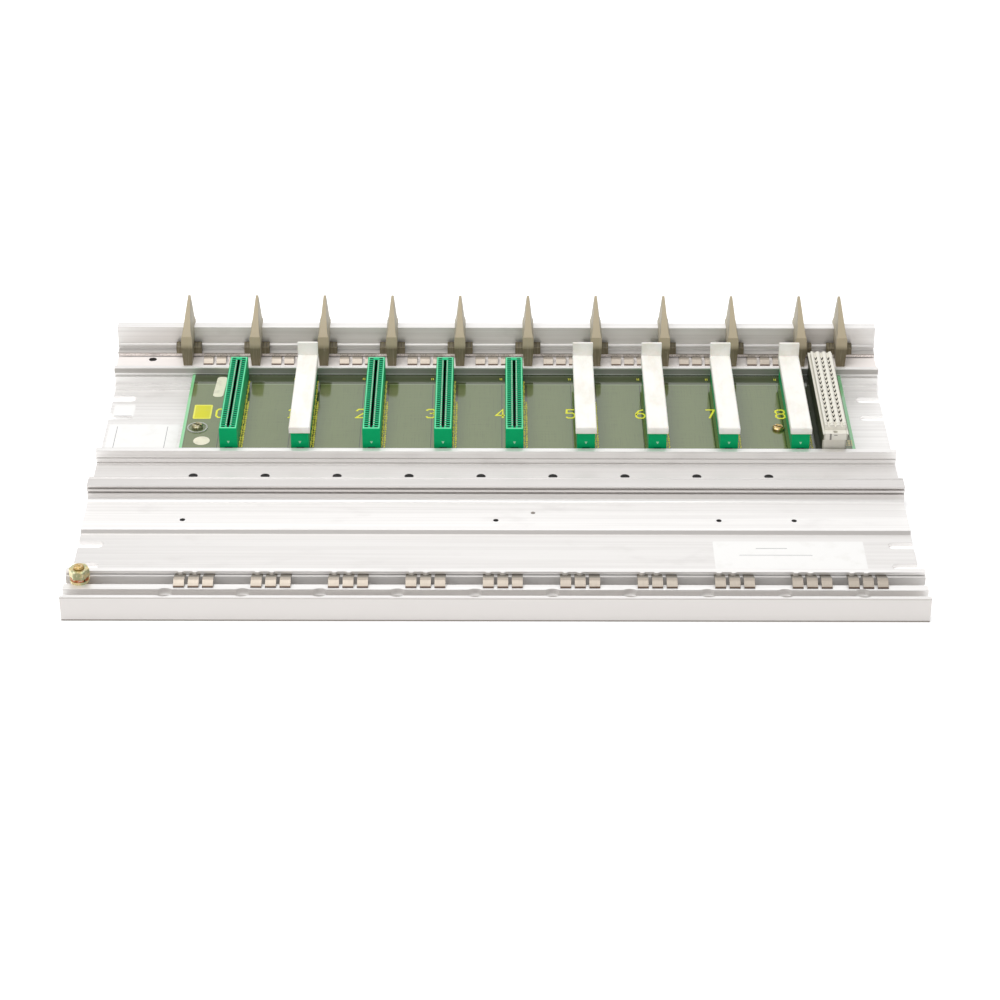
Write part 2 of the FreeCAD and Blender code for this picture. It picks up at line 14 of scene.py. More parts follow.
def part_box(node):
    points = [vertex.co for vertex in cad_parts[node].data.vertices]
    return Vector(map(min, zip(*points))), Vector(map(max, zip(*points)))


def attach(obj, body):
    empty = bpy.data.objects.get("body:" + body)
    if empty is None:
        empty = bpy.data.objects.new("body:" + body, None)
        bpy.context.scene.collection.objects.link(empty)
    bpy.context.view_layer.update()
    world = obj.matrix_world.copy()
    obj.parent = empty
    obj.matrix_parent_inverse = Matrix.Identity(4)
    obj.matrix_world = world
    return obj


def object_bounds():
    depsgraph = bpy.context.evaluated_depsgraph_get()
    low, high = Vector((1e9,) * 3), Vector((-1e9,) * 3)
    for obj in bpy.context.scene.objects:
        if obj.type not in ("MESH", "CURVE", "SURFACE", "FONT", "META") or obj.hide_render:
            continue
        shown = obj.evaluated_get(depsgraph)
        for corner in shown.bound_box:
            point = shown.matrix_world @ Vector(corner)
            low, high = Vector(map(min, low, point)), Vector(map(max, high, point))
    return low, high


bl_info = {
    "name": "Open card rack",
    "version": (1, 0, 0),
    "blender": (4, 5, 0),
    "location": "View3D > Sidebar > Card rack",
    "description": "Finishes, print, contacts, labels and stage of the packed card rack",
    "category": "Object",
}

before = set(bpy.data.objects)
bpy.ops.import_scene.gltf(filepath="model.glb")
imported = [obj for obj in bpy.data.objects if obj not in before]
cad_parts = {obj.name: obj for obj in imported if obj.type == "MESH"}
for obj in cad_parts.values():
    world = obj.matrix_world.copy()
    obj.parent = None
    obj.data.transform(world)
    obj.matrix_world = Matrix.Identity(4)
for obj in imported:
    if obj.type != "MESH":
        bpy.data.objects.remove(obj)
cad_low, cad_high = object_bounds()

MM = 0.001
WHITE = (1.0, 1.0, 1.0)
SLOTS = range(9)
CAPPED_SLOTS = (1, 5, 6, 7, 8)
OPEN_SLOTS = [slot for slot in SLOTS if slot not in CAPPED_SLOTS]
GUIDES = range(11)
SPRINGS = range(10)
RACK_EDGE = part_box("rack_profile")[0].y / MM
FIRST_SLOT = sum(corner.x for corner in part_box("slot_connector_0")) / 2 / MM
SECOND_SLOT = sum(corner.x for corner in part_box("slot_connector_1")) / 2 / MM
SLOT_PITCH = SECOND_SLOT - FIRST_SLOT
CONTACT_PITCH = 2.54
BAY_FLOOR = 2.5

# Stretches across the extrusion, in millimetres from its lower edge
FRONT_WALL = (0.2, 0.4)
SCREW_GROOVE = (2.6, 12.0)
TEE_CHANNEL = (16.9, 26.7)
LOWER_BAY = (30.4, 85.0)
STEP_FACE = (85.2, 86.8)
RAISED_BAND = (87.2, 118.3)
DOUBLE_RAIL = (118.3, 129.1)
VALLEY = (129.2, 159.3)
BOARD_RAIL_FACE = (255.7, 256.2)
CHANNEL_FLOOR = (258.3, 276.6)
CLAMP_FRONT_START = (276.0, 276.5)
CLAMP_FRONT_END = (276.9, 277.1)
CLAMP_TOP = (277.1, 281.9)
FLANGE_FACE = (281.8, 282.3)

# Levels of its edges over its underside, from where a finish fades to where it is gone
WALL_FOOT = (0.6, 1.0)
BAY_EDGE = (2.6, 2.8)
VALLEY_EDGE = (4.6, 4.9)
RAIL_FOOT = (5.0, 6.0)
TEE_LIPS = (12.7, 13.0)
RAIL_FACE_LEVELS = (13.2, 16.6)
CHANNEL_EDGE = (13.6, 13.8)
CLAMP_FOOT = (14.0, 14.1)
WALL_TOP = (14.7, 15.1)
CLAMP_LINE = (15.7, 15.9)
CLAMP_EDGE = (16.0, 16.2)
FLANGE_EDGE = (16.4, 17.0)

# Its holes: places along it, and distance from its lower edge, radius and level of their edge.
# The chip is a place along it and a distance from its lower edge.
VALLEY_HOLE_SHIFT = 20.1
VALLEY_HOLE = (146.5, 2.75, 4.5)
BAND_HOLE_PLACES = (-183.3, 0.0, 130.5, 174.5)
BAND_HOLE = (97.4, 1.6, 4.5)
CHANNEL_HOLE_PLACE = -218.9
CHANNEL_HOLE = (273.2, 2.5, 13.5)
CHIP = (21.8, 105.5)

# Guide fins: levels of the foot and of the ears' top, start of the ears from the rack's lower
# edge, and the ears' ribs
FIN_FOOT = (25.0, 29.0)
EAR_START = (276.2, 276.5)
EAR_TOP = (22.6, 22.9)
EAR_RIB = 1.1

# Slot sockets: distances from the middle or the near end of one, depths under its top, the
# contacts' bend from its middle and its top, and the height of a cap's skirt
CELL_INNER = 1.9
CELL_OUTER = 4.0
RIM_INNER = 4.4
RIM_END = 43.0
END_CELL = 16.5 * CONTACT_PITCH
CELL_FLOOR = (9.4, 9.8)
CARD_SLOT = (0.76, 0.84)
NOTCH_SIDE = (2.25, 2.35)
NOTCH_TOP = (12.9, 13.05)
NOTCH_END = (1.3, 1.4)
MARK_DEPTH = 9.6
CAP_SKIRT = 2.6
CONTACT_BEND = ((2.1, -2.98), (2.0, -0.7), (1.65, -0.12), (1.15, -0.15), (0.85, -0.8), (0.9, -2.98))

# Interface socket: its holes, half sizes of their field and of its flanks, and its near end
HOLE_ROW_PITCH = 5.08
HOLE_COLUMN_PITCH = 3.9
HOLE_HALF = 0.75
HOLE_FIELD = (5.9, 40.4)
FLANK = 6.2
LEDGE = 6.5
LEDGE_FOOT = 7.0
LEDGE_DEPTH = (3.4, 4.0)
END_GROOVE = (-43.6, -42.9)
NEAR_END = (-48.0, -47.0)
RECESS_ACROSS = (-3.6, -2.5)
RECESS_DEPTH = (3.7, 8.0)
KEY_SIDE = (0.92, 1.08)
KEY_DEPTH = (4.5, 5.0)

# Board: its copper plane and pins' field from its upper edge and from a slot, its ends, the dark ground
# round its right screw, partly bare clearance and partly painted shadow, its pads, and the pale rim, a
# painted highlight, of the ring under its left screw
PLANE_EDGE = 13.6
BARE_STRIP = 12.9
PIN_FIELD_END = 10.0
PLANE_GAP = (35.3, 35.9)
PIN_FIELD = (5.3, 8.3)
END_STRIP = (1.7, 1.9)
END_LINE = (2.0, 2.5)
RIGHT_END_WIDER = 0.1
SCREW_GROUND = (4.2, 4.8)
FIELD_MARGIN = 3.4
PAD_MARGIN = 0.6
PAD_FIELD = (4.0, 8.4, 15.6)
RING_RIM = (5.3, 5.6)

# Pin numbers: width over height, columns and rows from a socket's corners, and the corner number
PIN_NUMBER_SHAPE = 0.4
PIN_COLUMN_START = 0.35
PIN_COLUMN_PITCH = 1.45
PIN_ROW_START = 2.0
CORNER_NUMBER = (3.6, 4.2)

# Plain rules on the white labels: start and end, along the rack and from its lower edge
LABEL_RULES = (
    ((-234.4, 207.5), (-234.4, 178.5)),
    ((-203.3, 207.5), (-203.3, 178.5)),
    ((-238.0, 220.6), (-227.0, 220.6)),
    ((150.0, 70.5), (168.0, 70.5)),
    ((140.0, 63.5), (182.0, 63.5)),
)

# Strokes of the plain digits, on a grid four wide and eight high
DIGIT_GRID = (4, 8)
DIGIT_ADVANCE = 1.4
DIGIT_STROKES = {
    "0": [[(1, 0), (3, 0), (4, 1.6), (4, 6.4), (3, 8), (1, 8), (0, 6.4), (0, 1.6), (1, 0)]],
    "1": [[(1, 6.6), (2, 8), (2, 0)], [(0.8, 0), (3.2, 0)]],
    "2": [[(0, 6.2), (1, 8), (3, 8), (4, 6.6), (4, 5.2), (0, 0), (4, 0)]],
    "3": [[(0, 6.8), (1, 8), (3, 8), (4, 6.8), (4, 5.2), (3, 4.2), (1.6, 4.2)],
          [(3, 4.2), (4, 3.1), (4, 1.2), (3, 0), (1, 0), (0, 1.2)]],
    "4": [[(3, 0), (3, 8), (0, 2.4), (4, 2.4)]],
    "5": [[(3.8, 8), (0.4, 8), (0.2, 4.6), (2.8, 4.8), (4, 3.6), (4, 1.4), (3, 0), (1, 0), (0, 1)]],
    "6": [[(3.4, 8), (1.4, 7), (0, 4), (0, 1.4), (1, 0), (3, 0), (4, 1.4), (4, 3), (3, 4.4),
           (1, 4.4), (0, 3)]],
    "7": [[(0, 8), (4, 8), (1.4, 0)]],
    "8": [[(1, 4.2), (0, 5.4), (0, 7), (1, 8), (3, 8), (4, 7), (4, 5.4), (3, 4.2), (1, 4.2),
           (0, 3), (0, 1.2), (1, 0), (3, 0), (4, 1.2), (4, 3), (3, 4.2)]],
    "9": [[(0.6, 0), (2.6, 1), (4, 4), (4, 6.6), (3, 8), (1, 8), (0, 6.6), (0, 5), (1, 3.6),
           (3, 3.6), (4, 5)]],
}


def tone(red, green, blue):
    """Linear colour of a shade given as 0 to 255 on a screen."""
    def linear(level):
        part = level / 255
        return part / 12.92 if part <= 0.04045 else ((part + 0.055) / 1.055) ** 2.4
    return tuple(linear(level) for level in (red, green, blue))


def shade(screen, name, description):
    """Colour property, with its default given as 0 to 255 on a screen."""
    return FloatVectorProperty(name=name, description=description, default=tone(*screen),
                               size=3, min=0.0, max=1.0, subtype="COLOR")


def length(default, name, description):
    return FloatProperty(name=name, description=description, default=default * MM,
                         precision=5, unit="LENGTH", subtype="DISTANCE")


def share(default, name, description):
    return FloatProperty(name=name, description=description, default=default,
                         min=0.0, max=1.0, subtype="FACTOR")


def amount(default, name, description):
    return FloatProperty(name=name, description=description, default=default, min=0.0)


def angle(default, name, description):
    return FloatProperty(name=name, description=description, default=math.radians(default),
                         subtype="ANGLE", unit="ROTATION")


def number(default, name, description):
    return IntProperty(name=name, description=description, default=default, min=1)


class CardRackMetal(bpy.types.PropertyGroup):
    """Colours of the extrusion, the springs and the fasteners."""

    aluminium: shade((250, 248, 246), "Aluminium", "Clean extruded surface")
    # Darker aluminium: random streaks and smudges, and painted shade on faces and recesses that get
    # less light.
    aluminium_shade: shade((212, 208, 205), "Aluminium shade", "Duller stretches of it")
    # Painted light: bright, slightly pink aluminium laid over the shaded channel floor and clamp front.
    aluminium_light: shade((250, 243, 239), "Aluminium light", "Matt scuffed stretches")
    aluminium_metallic: share(0.6, "Metallic", "How mirror-like the extruded surface is")
    aluminium_roughness: share(0.42, "Roughness", "Roughness of the extruded surface")
    # Dark tone for real dust and a chip, and for painted shade in recesses, at the wall foot and on
    # faces that get less light.
    grime: shade((120, 112, 102), "Grime", "Dust and oxide in the corners")
    # Painted shade on the walls of the drilled holes.
    hole: shade((46, 44, 44), "Hole", "Walls of the drilled holes")
    spring: shade((146, 140, 131), "Spring", "Nickel of the contact springs")
    spring_dull: shade((192, 181, 168), "Spring dull", "Dull stretches near the springs' tips")
    # Painted shade on the springs' tips and side faces.
    spring_dark: shade((92, 76, 66), "Spring dark", "Edges of the springs")
    zinc: shade((232, 214, 160), "Yellow zinc", "Chromated washer and nut")
    zinc_green: shade((190, 194, 150), "Green zinc", "Greenish patches of the chromate")
    zinc_worn: shade((250, 244, 216), "Worn zinc", "Bright worn edges of the chromate")
    copper: shade((205, 128, 84), "Copper", "Lock washer")
    brass: shade((214, 180, 112), "Brass", "Right board screw and stud")
    dark_screw: shade((176, 170, 130), "Dark screw", "Left board screw")
    tarnish: shade((60, 54, 44), "Tarnish", "Dark patches on screws, stud and lock washer")
    # Painted shade in the board screws' slots.
    screw_slot: shade((34, 28, 20), "Screw slot", "Dark slots of the board screws")


class CardRackPlastic(bpy.types.PropertyGroup):
    """Colours of the moulded pieces."""

    green: shade((0, 172, 106), "Socket green", "Body of the slot sockets")
    # Lighter green: random mottle, and painted light on the sockets' top faces.
    green_light: shade((44, 190, 130), "Socket light", "Ribs between the cells")
    # Painted highlight along the upper rim of the sockets.
    green_rim: shade((132, 232, 182), "Socket rim", "Upper rim of the sockets")
    # Painted shade inside the cells, on the top round them and on extra cells at the ends.
    green_cell: shade((0, 40, 22), "Socket cell", "Inside of the cells")
    green_mark: shade((190, 230, 200), "Socket mark", "Small moulded mark on the end")
    # Painted shade in the card slot, its end and the notch at the near end.
    hollow: shade((10, 16, 10), "Hollow", "Inside of the card slot")
    cap: shade((250, 248, 242), "Cap", "Off-white dust caps")
    # Darker cap tone: yellowed patches, and the darkening towards the skirts.
    cap_shade: shade((232, 226, 213), "Cap shade", "Yellowed edges of the caps")
    cream: shade((232, 229, 218), "Cream", "Interface socket")
    # Painted shade on the interface socket's flanks and in its end groove.
    cream_shade: shade((150, 148, 126), "Cream shade", "Flanks of the interface socket")
    cream_dark: shade((66, 68, 50), "Cream dark", "Shade under its ledges")
    # Painted shade in the interface holes and the recesses at its near end; also used for the ribs on
    # the fins' ears.
    cream_hole: shade((44, 36, 32), "Cream hole", "Inside of the interface holes")
    olive: shade((176, 163, 136), "Olive", "Wedge of the guide fins")
    # Paler olive: mould streaks and rubbed patches, and painted light on the fins' flanks.
    olive_light: shade((172, 165, 146), "Olive light", "Flanks and worn edges of the fins")
    olive_dark: shade((100, 91, 66), "Olive dark", "Foot and ears of the fins")
    ring: shade((205, 210, 180), "Ring", "Clear ring under the left screw")


class CardRackBoard(bpy.types.PropertyGroup):
    """Colours and print of the backplane board."""

    mask: shade((93, 107, 52), "Mask", "Solder mask over the copper plane")
    mask_light: shade((102, 115, 64), "Light mask", "Lighter stretches of the mask")
    mask_dark: shade((50, 60, 24), "Dark mask", "Mask with no copper under it")
    slate: shade((52, 54, 50), "Slate", "Dark field beside the interface socket")
    edge: shade((130, 205, 145), "Edge", "Bare laminate at the board's ends")
    line: shade((150, 165, 130), "Line", "Edge of the copper plane")
    pads: shade((206, 190, 110), "Pads", "Gilt pads")
    print_yellow: shade((246, 240, 66), "Digit print", "Screen print of the slot digits")
    pin_yellow: shade((250, 240, 80), "Pin print", "Screen print of the pin numbers")
    print_worn: shade((180, 170, 40), "Worn print", "Thin places of the screen print")
    digit_height: length(10.2, "Digit height", "Height of a slot digit")
    digit_width: length(5.4, "Digit width", "Width of a slot digit")
    digit_stroke: length(1.2, "Digit stroke", "Width of a digit's line")
    digit_offset: length(8.4, "Digit offset", "From a socket's middle to its digit's middle")
    digit_level: length(40.9, "Digit level", "From the board's lower edge to the digits' foot")
    pin_height: length(1.75, "Pin number height", "Height of a pin number")
    pin_stroke: length(0.5, "Pin stroke", "Width of a pin number's line")
    pin_pitch: length(CONTACT_PITCH, "Pin pitch", "Distance from one contact to the next")
    pin_rows: number(32, "Pin rows", "Numbers beside a socket")
    pin_rows_outer: number(22, "Outer pin rows", "Numbers in the second column")
    print_thickness: length(0.04, "Print thickness", "Thickness of the screen print")


class CardRackContacts(bpy.types.PropertyGroup):
    """Sizes of the contacts in the open sockets."""

    count: number(32, "Count", "Contacts on each side")
    pitch: length(CONTACT_PITCH, "Pitch", "Distance from one contact to the next")
    width: length(1.35, "Width", "Width of a contact")
    thickness: length(0.25, "Thickness", "Thickness of a contact")
    silver: shade((250, 252, 242), "Silver", "Plating of the contacts")
    silver_dull: shade((150, 140, 122), "Dull silver", "Dull patches of the plating")


class CardRackLabels(bpy.types.PropertyGroup):
    """Colours and thickness of the bare labels and stickers."""

    paper: shade((246, 245, 243), "Paper", "White label stock")
    ivory: shade((234, 228, 206), "Ivory", "Oval and strip stickers")
    yellow: shade((214, 208, 52), "Yellow", "Yellow sticker")
    yellow_edge: shade((236, 232, 96), "Yellow edge", "Lighter border of the yellow sticker")
    ink: shade((150, 148, 152), "Ink", "Plain rules on the labels")
    soil: shade((190, 184, 168), "Soil", "Soiled patches of the labels")
    thickness: length(0.1, "Thickness", "Thickness of a sticker")
    rule_width: length(0.35, "Rule width", "Width of a plain rule")


class CardRackStudio(bpy.types.PropertyGroup):
    """Camera, lights and floor."""

    camera_place: FloatVectorProperty(name="Camera place", description="Place of the camera",
                                      default=(1.2 * MM, cad_low.y - 1250.8 * MM, 864.6 * MM), size=3,
                                      subtype="TRANSLATION", unit="LENGTH")
    pitch: angle(32.113, "Pitch", "How far the camera looks down")
    yaw: angle(0.051, "Yaw", "Turn of the camera to the right")
    roll: angle(0.131, "Roll", "Tilt of the camera about its view")
    focal_length: FloatProperty(name="Focal length", description="Lens of the camera",
                                default=98.43, unit="CAMERA")
    sensor: FloatProperty(name="Sensor", description="Width of the sensor in millimetres",
                          default=36.0)
    floor_size: length(6000, "Floor size", "Side of the square floor")
    floor: shade((250, 250, 250), "Floor", "Colour of the floor")
    world: amount(0.5, "World", "Strength of the surrounding light")
    key: amount(24.0, "Key", "Power of the light overhead in watts")
    fill: amount(4.0, "Fill", "Power of the low light in front in watts")
    rear: amount(7.0, "Rear", "Power of the light behind the rack in watts")
    floor_glow: amount(0.3, "Floor glow", "Light that lifts the floor to white")


# Shader expressions

def joined(operation, reflected=False):
    """Method that joins two values in a Math node."""
    def method(self, other):
        values = (other, self) if reflected else (self, other)
        return self.shader.maths(operation, *values)
    return method


class Field:
    """Value of one shader socket, so that shader maths reads as plain expressions."""

    def __init__(self, shader, socket):
        self.shader = shader
        self.socket = socket

    def __abs__(self):
        return self.shader.maths("ABSOLUTE", self)

    __add__ = __radd__ = joined("ADD")
    __sub__ = joined("SUBTRACT")
    __rsub__ = joined("SUBTRACT", reflected=True)
    __mul__ = __rmul__ = joined("MULTIPLY")
    __truediv__ = joined("DIVIDE")
    __and__ = joined("MINIMUM")
    __or__ = joined("MAXIMUM")


class Shader:
    """One finish: a node tree round a Principled surface."""

    def __init__(self, name, constants):
        self.material = bpy.data.materials.new(name)
        self.material.use_nodes = True
        self.tree = self.material.node_tree
        self.tree.nodes.clear()
        self.surface = self.node("ShaderNodeBsdfPrincipled", sockets=constants)
        self.node("ShaderNodeOutputMaterial", sockets={0: Field(self, self.surface.outputs[0])})

    def node(self, kind, settings=None, sockets=None):
        """Adds a node: its settings first, then values or links of its sockets."""
        node = self.tree.nodes.new(kind)
        for name, value in (settings or {}).items():
            setattr(node, name, value)
        self.feed(node, sockets or {})
        return node

    def feed(self, node, sockets):
        for key, value in sockets.items():
            if isinstance(value, Field):
                self.tree.links.new(value.socket, node.inputs[key])
            else:
                node.inputs[key].default_value = value

    def surfaces(self, sockets):
        """Feeds sockets of the surface and gives the finished material."""
        self.feed(self.surface, sockets)
        return self.material

    def output(self, node, key=0):
        return Field(self, node.outputs[key])

    def maths(self, operation, *values):
        return self.output(self.node("ShaderNodeMath", {"operation": operation},
                                     dict(enumerate(values))))

    def place(self):
        """Place on the object in millimetres."""
        coordinates = self.node("ShaderNodeTexCoord")
        return self.stretch(self.output(coordinates, "Object"), (1 / MM, 1 / MM, 1 / MM))

    def stretch(self, vector, factors):
        return self.output(self.node("ShaderNodeVectorMath", {"operation": "MULTIPLY"},
                                     {0: vector, 1: factors}))

    def split(self, vector):
        parts = self.node("ShaderNodeSeparateXYZ", sockets={0: vector})
        return [self.output(parts, axis) for axis in range(3)]

    def mix(self, factor, first, second):
        """Colour between two colours, each a field or three numbers."""
        ends = [end if isinstance(end, Field) else (*end, 1.0) for end in (first, second)]
        node = self.node("ShaderNodeMix", {"data_type": "RGBA"},
                         {0: factor, 6: ends[0], 7: ends[1]})
        return self.output(node, 2)

    def noise(self, vector, scale, detail=2.0, rough=0.5):
        return self.output(self.node("ShaderNodeTexNoise", None, {
            "Vector": vector, "Scale": scale, "Detail": detail, "Roughness": rough}))

    def grain(self, place, factors, detail=2.0, rough=0.5):
        """Noise with its grain drawn out by a factor on each axis."""
        return self.noise(self.stretch(place, factors), 1.0, detail, rough)

    def reach(self, across, along):
        """Distance from the point where both are 0."""
        return self.maths("SQRT", across * across + along * along)

    def step(self, value, start, end):
        """0 up to start, 1 from end on, and smooth between them."""
        return self.output(self.node("ShaderNodeMapRange", {"interpolation_type": "SMOOTHSTEP"},
                                     {"Value": value, "From Min": start, "From Max": end}))

    def below(self, value, start, end):
        """1 up to start, 0 from end on, and smooth between them."""
        return 1 - self.step(value, start, end)

    def band(self, value, low, high, soft=0.1):
        """1 between low and high."""
        return self.step(value, low - soft, low + soft) * self.below(value, high - soft, high + soft)

    def bump(self, height, depth, normal=None):
        """Normal of a surface raised by height times depth, in millimetres."""
        sockets = {"Strength": 1.0, "Distance": depth * MM, "Height": height}
        if normal is not None:
            sockets["Normal"] = normal
        return self.output(self.node("ShaderNodeBump", None, sockets))

    def facing(self):
        """How far the surface faces along the rack: 1 or -1 on its ends and side faces."""
        geometry = self.node("ShaderNodeNewGeometry")
        return self.split(self.output(geometry, "Normal"))[0]

    def soft_edges(self, radius):
        """Normal that rounds the edges by a radius in millimetres."""
        return self.output(self.node("ShaderNodeBevel", {"samples": 4}, {"Radius": radius * MM}))


# Helpers for solids and new pieces

def middle(node):
    """Middle of a solid's box in metres."""
    low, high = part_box(node)
    return (low + high) / 2


def dress(nodes, material):
    """Gives the solids their finish."""
    for name in nodes:
        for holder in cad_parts[name].material_slots:
            holder.material = material


def add_piece(name, mesh, material):
    """Links a finished mesh as a piece of the rack."""
    bmesh.ops.recalc_face_normals(mesh, faces=mesh.faces)
    data = bpy.data.meshes.new(name)
    mesh.to_mesh(data)
    mesh.free()
    data.materials.append(material)
    piece = bpy.data.objects.new(name, data)
    bpy.context.scene.collection.objects.link(piece)
    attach(piece, "root")


def add_prism(mesh, outline, low, high):
    """Closed prism on an outline of (x, y) points, from one level to another."""
    lower = [mesh.verts.new((x, y, low)) for x, y in outline]
    upper = [mesh.verts.new((x, y, high)) for x, y in outline]
    mesh.faces.new(lower)
    mesh.faces.new(upper)
    for k in range(len(outline)):
        after = (k + 1) % len(outline)
        mesh.faces.new((lower[k], lower[after], upper[after], upper[k]))


def add_stroke(mesh, points, width, low, high):
    """Closed ribbon of one width along a line of (x, y) points, with mitred corners."""
    line = [Vector(p) for p in points]
    closed = len(line) > 2 and (line[0] - line[-1]).length < width / 10
    rings = []
    for k, here in enumerate(line):
        runs = []
        if k or closed:
            runs.append((here - line[k - 1 if k else -2]).normalized())
        if k + 1 < len(line) or closed:
            runs.append((line[k + 1 if k + 1 < len(line) else 1] - here).normalized())
        direction = sum(runs, Vector((0, 0))).normalized()
        across = Vector((-direction.y, direction.x))
        widening = 1 / max(abs(direction.dot(runs[0])), 0.5)
        side = across * width / 2 * widening
        rings.append([mesh.verts.new((*(here + s * side), z)) for z in (low, high) for s in (1, -1)])
    for first, second in zip(rings, rings[1:]):
        for a, b in ((0, 1), (1, 3), (3, 2), (2, 0)):
            mesh.faces.new((first[a], first[b], second[b], second[a]))
    for ring in (rings[0], rings[-1]):
        mesh.faces.new([ring[k] for k in (0, 1, 3, 2)])


def add_number(mesh, text, corner, size, stroke, low, high):
    """Plain digits side by side. The corner is the lower left of the first one."""
    width, height = size
    for place, digit in enumerate(text):
        for points in DIGIT_STROKES[digit]:
            line = [(corner[0] + (place * DIGIT_ADVANCE + gx / DIGIT_GRID[0]) * width,
                     corner[1] + gy / DIGIT_GRID[1] * height) for gx, gy in points]
            add_stroke(mesh, line, stroke, low, high)


def rounded(x_low, x_high, y_low, y_high, radius, steps=6):
    """Outline of a rectangle with round corners."""
    corners = []
    for turn, (x, y) in enumerate(((x_high, y_high), (x_low, y_high), (x_low, y_low), (x_high, y_low))):
        cx = x - radius if x == x_high else x + radius
        cy = y - radius if y == y_high else y + radius
        for k in range(steps + 1):
            angle = math.pi / 2 * (turn + k / steps)
            corners.append((cx + radius * math.cos(angle), cy + radius * math.sin(angle)))
    return corners


def on_rack(points):
    """Points along the rack and up from its lower edge in millimetres, turned into metres."""
    return [(x * MM, (RACK_EDGE + up) * MM) for x, up in points]


def oval(x, y, half_width, half_height, steps=36):
    """Outline of an oval round a middle."""
    angles = [2 * math.pi * k / steps for k in range(steps)]
    return [(x + half_width * math.cos(a), y + half_height * math.sin(a)) for a in angles]


# Finishes of the metal

def strongest(*layers):
    """Highest of several masks, each times its strength."""
    fields = [mask * strength for mask, strength in layers]
    highest = fields[0]
    for field in fields[1:]:
        highest = highest | field
    return highest


def aluminium_finish(metal):
    """Bare extruded aluminium: streaks along the rack, scuffed floors, dust and a chip, painted shade
    in corners, recesses, holes and on faces that get less light, and painted light on the channel
    floor.
    """
    shader = Shader("bare_aluminium", {"Specular IOR Level": 0.5})
    place = shader.place()
    x, y, z = shader.split(place)
    up = y - RACK_EDGE
    streaks = shader.grain(place, (0.005, 0.5, 0.5), 3.0, 0.6)
    die_lines = shader.grain(place, (0.01, 2.6, 2.6), 2.0, 0.6)
    smudges = shader.grain(place, (0.03, 0.07, 0.07), 4.0, 0.6)
    front_wall = shader.below(up, *FRONT_WALL)
    # Painted contact shadow along the foot of the front wall.
    foot_shadow = front_wall * shader.below(z, *WALL_FOOT)
    top_line = front_wall * shader.band(z, *WALL_TOP, 0.15)
    groove = shader.band(up, *SCREW_GROOVE)
    tee_walls = shader.band(up, *TEE_CHANNEL) * shader.below(z, *TEE_LIPS)
    lower_bay = shader.band(up, *LOWER_BAY) * shader.below(z, *BAY_EDGE)
    step_face = shader.band(up, *STEP_FACE)
    raised_band = shader.band(up, *RAISED_BAND) * shader.below(z, *VALLEY_EDGE)
    rail_tops = shader.band(up, *DOUBLE_RAIL) * shader.step(z, *RAIL_FOOT)
    valley = shader.band(up, *VALLEY) * shader.below(z, *VALLEY_EDGE)
    # Painted shade and reflection on the face of the board rail.
    rail_face_shade = shader.band(up, *BOARD_RAIL_FACE) * shader.band(z, *RAIL_FACE_LEVELS, 0.5)
    channel_floor = shader.band(up, *CHANNEL_FLOOR) * shader.below(z, *CHANNEL_EDGE)
    clamp_front = shader.step(up, *CLAMP_FRONT_START) * shader.below(up, *CLAMP_FRONT_END)
    clamp_front = clamp_front * shader.step(z, *CLAMP_FOOT)
    clamp_line = clamp_front * shader.step(z, *CLAMP_LINE)
    # Painted shade on the top of the clamp.
    clamp_top_shade = shader.band(up, *CLAMP_TOP) * shader.step(z, *CLAMP_EDGE)
    # Painted shade and reflection on the flange face.
    flange_face_shade = shader.band(up, *FLANGE_FACE) * shader.step(z, *FLANGE_EDGE)
    speckle = clamp_front * shader.step(shader.noise(place, 1.1, 2.0), 0.5, 0.6)
    chip_mark = shader.below(shader.reach(x - CHIP[0], up - CHIP[1]) + streaks, 1.6, 2.0)
    holes = hole_walls(shader, x, up, z)
    base = shader.mix(shader.step(streaks, 0.35, 0.7) * 0.3, metal.aluminium, metal.aluminium_shade)
    base = shader.mix(shader.step(smudges, 0.55, 0.75) * 0.25, base, metal.aluminium_shade)
    # Painted shade on the front wall, step face, screw groove, tee channel walls, rail tops, lower bay
    # and valley.
    painted_shade = strongest((step_face, 1.0), (front_wall, 1.0), (tee_walls, 0.4), (groove, 1.0),
                       (rail_tops, 0.7), (lower_bay, 0.3), (valley, 0.5))
    base = shader.mix(painted_shade, base, metal.aluminium_shade)
    # Painted light over the channel floor and clamp front, which lie in the flange's shade.
    base = shader.mix((channel_floor | clamp_front) * 0.9, base, metal.aluminium_light)
    # Dust speckles and a chip, thin dark lines along the wall top and clamp front, and painted shade in
    # the tee channel and screw groove, on the step face, clamp top, rail face and flange face.
    grime = strongest((tee_walls, 0.08), (groove, 0.2), (step_face, 0.12), (speckle, 0.4),
                      (chip_mark, 0.9), (top_line, 0.45), (foot_shadow, 0.9), (clamp_line, 0.8),
                      (clamp_top_shade, 0.28), (rail_face_shade, 0.62), (flange_face_shade, 0.16))
    base = shader.mix(grime, base, metal.grime)
    # Painted shade on the walls of the drilled holes.
    base = shader.mix(holes, base, metal.hole)
    scuffed = strongest((tee_walls, 1.0), (channel_floor, 0.8), (raised_band, 0.7), (valley, 0.5))
    metallic = (metal.aluminium_metallic - scuffed * 0.7) & (1 - holes)
    rough = metal.aluminium_roughness + (streaks - 0.5) * 0.1 + grime * 0.2
    normal = shader.bump(die_lines * 0.7 + streaks * 0.5, 0.02, shader.soft_edges(0.25))
    return shader.surfaces({"Base Color": base, "Metallic": metallic, "Roughness": rough,
                            "Normal": normal})


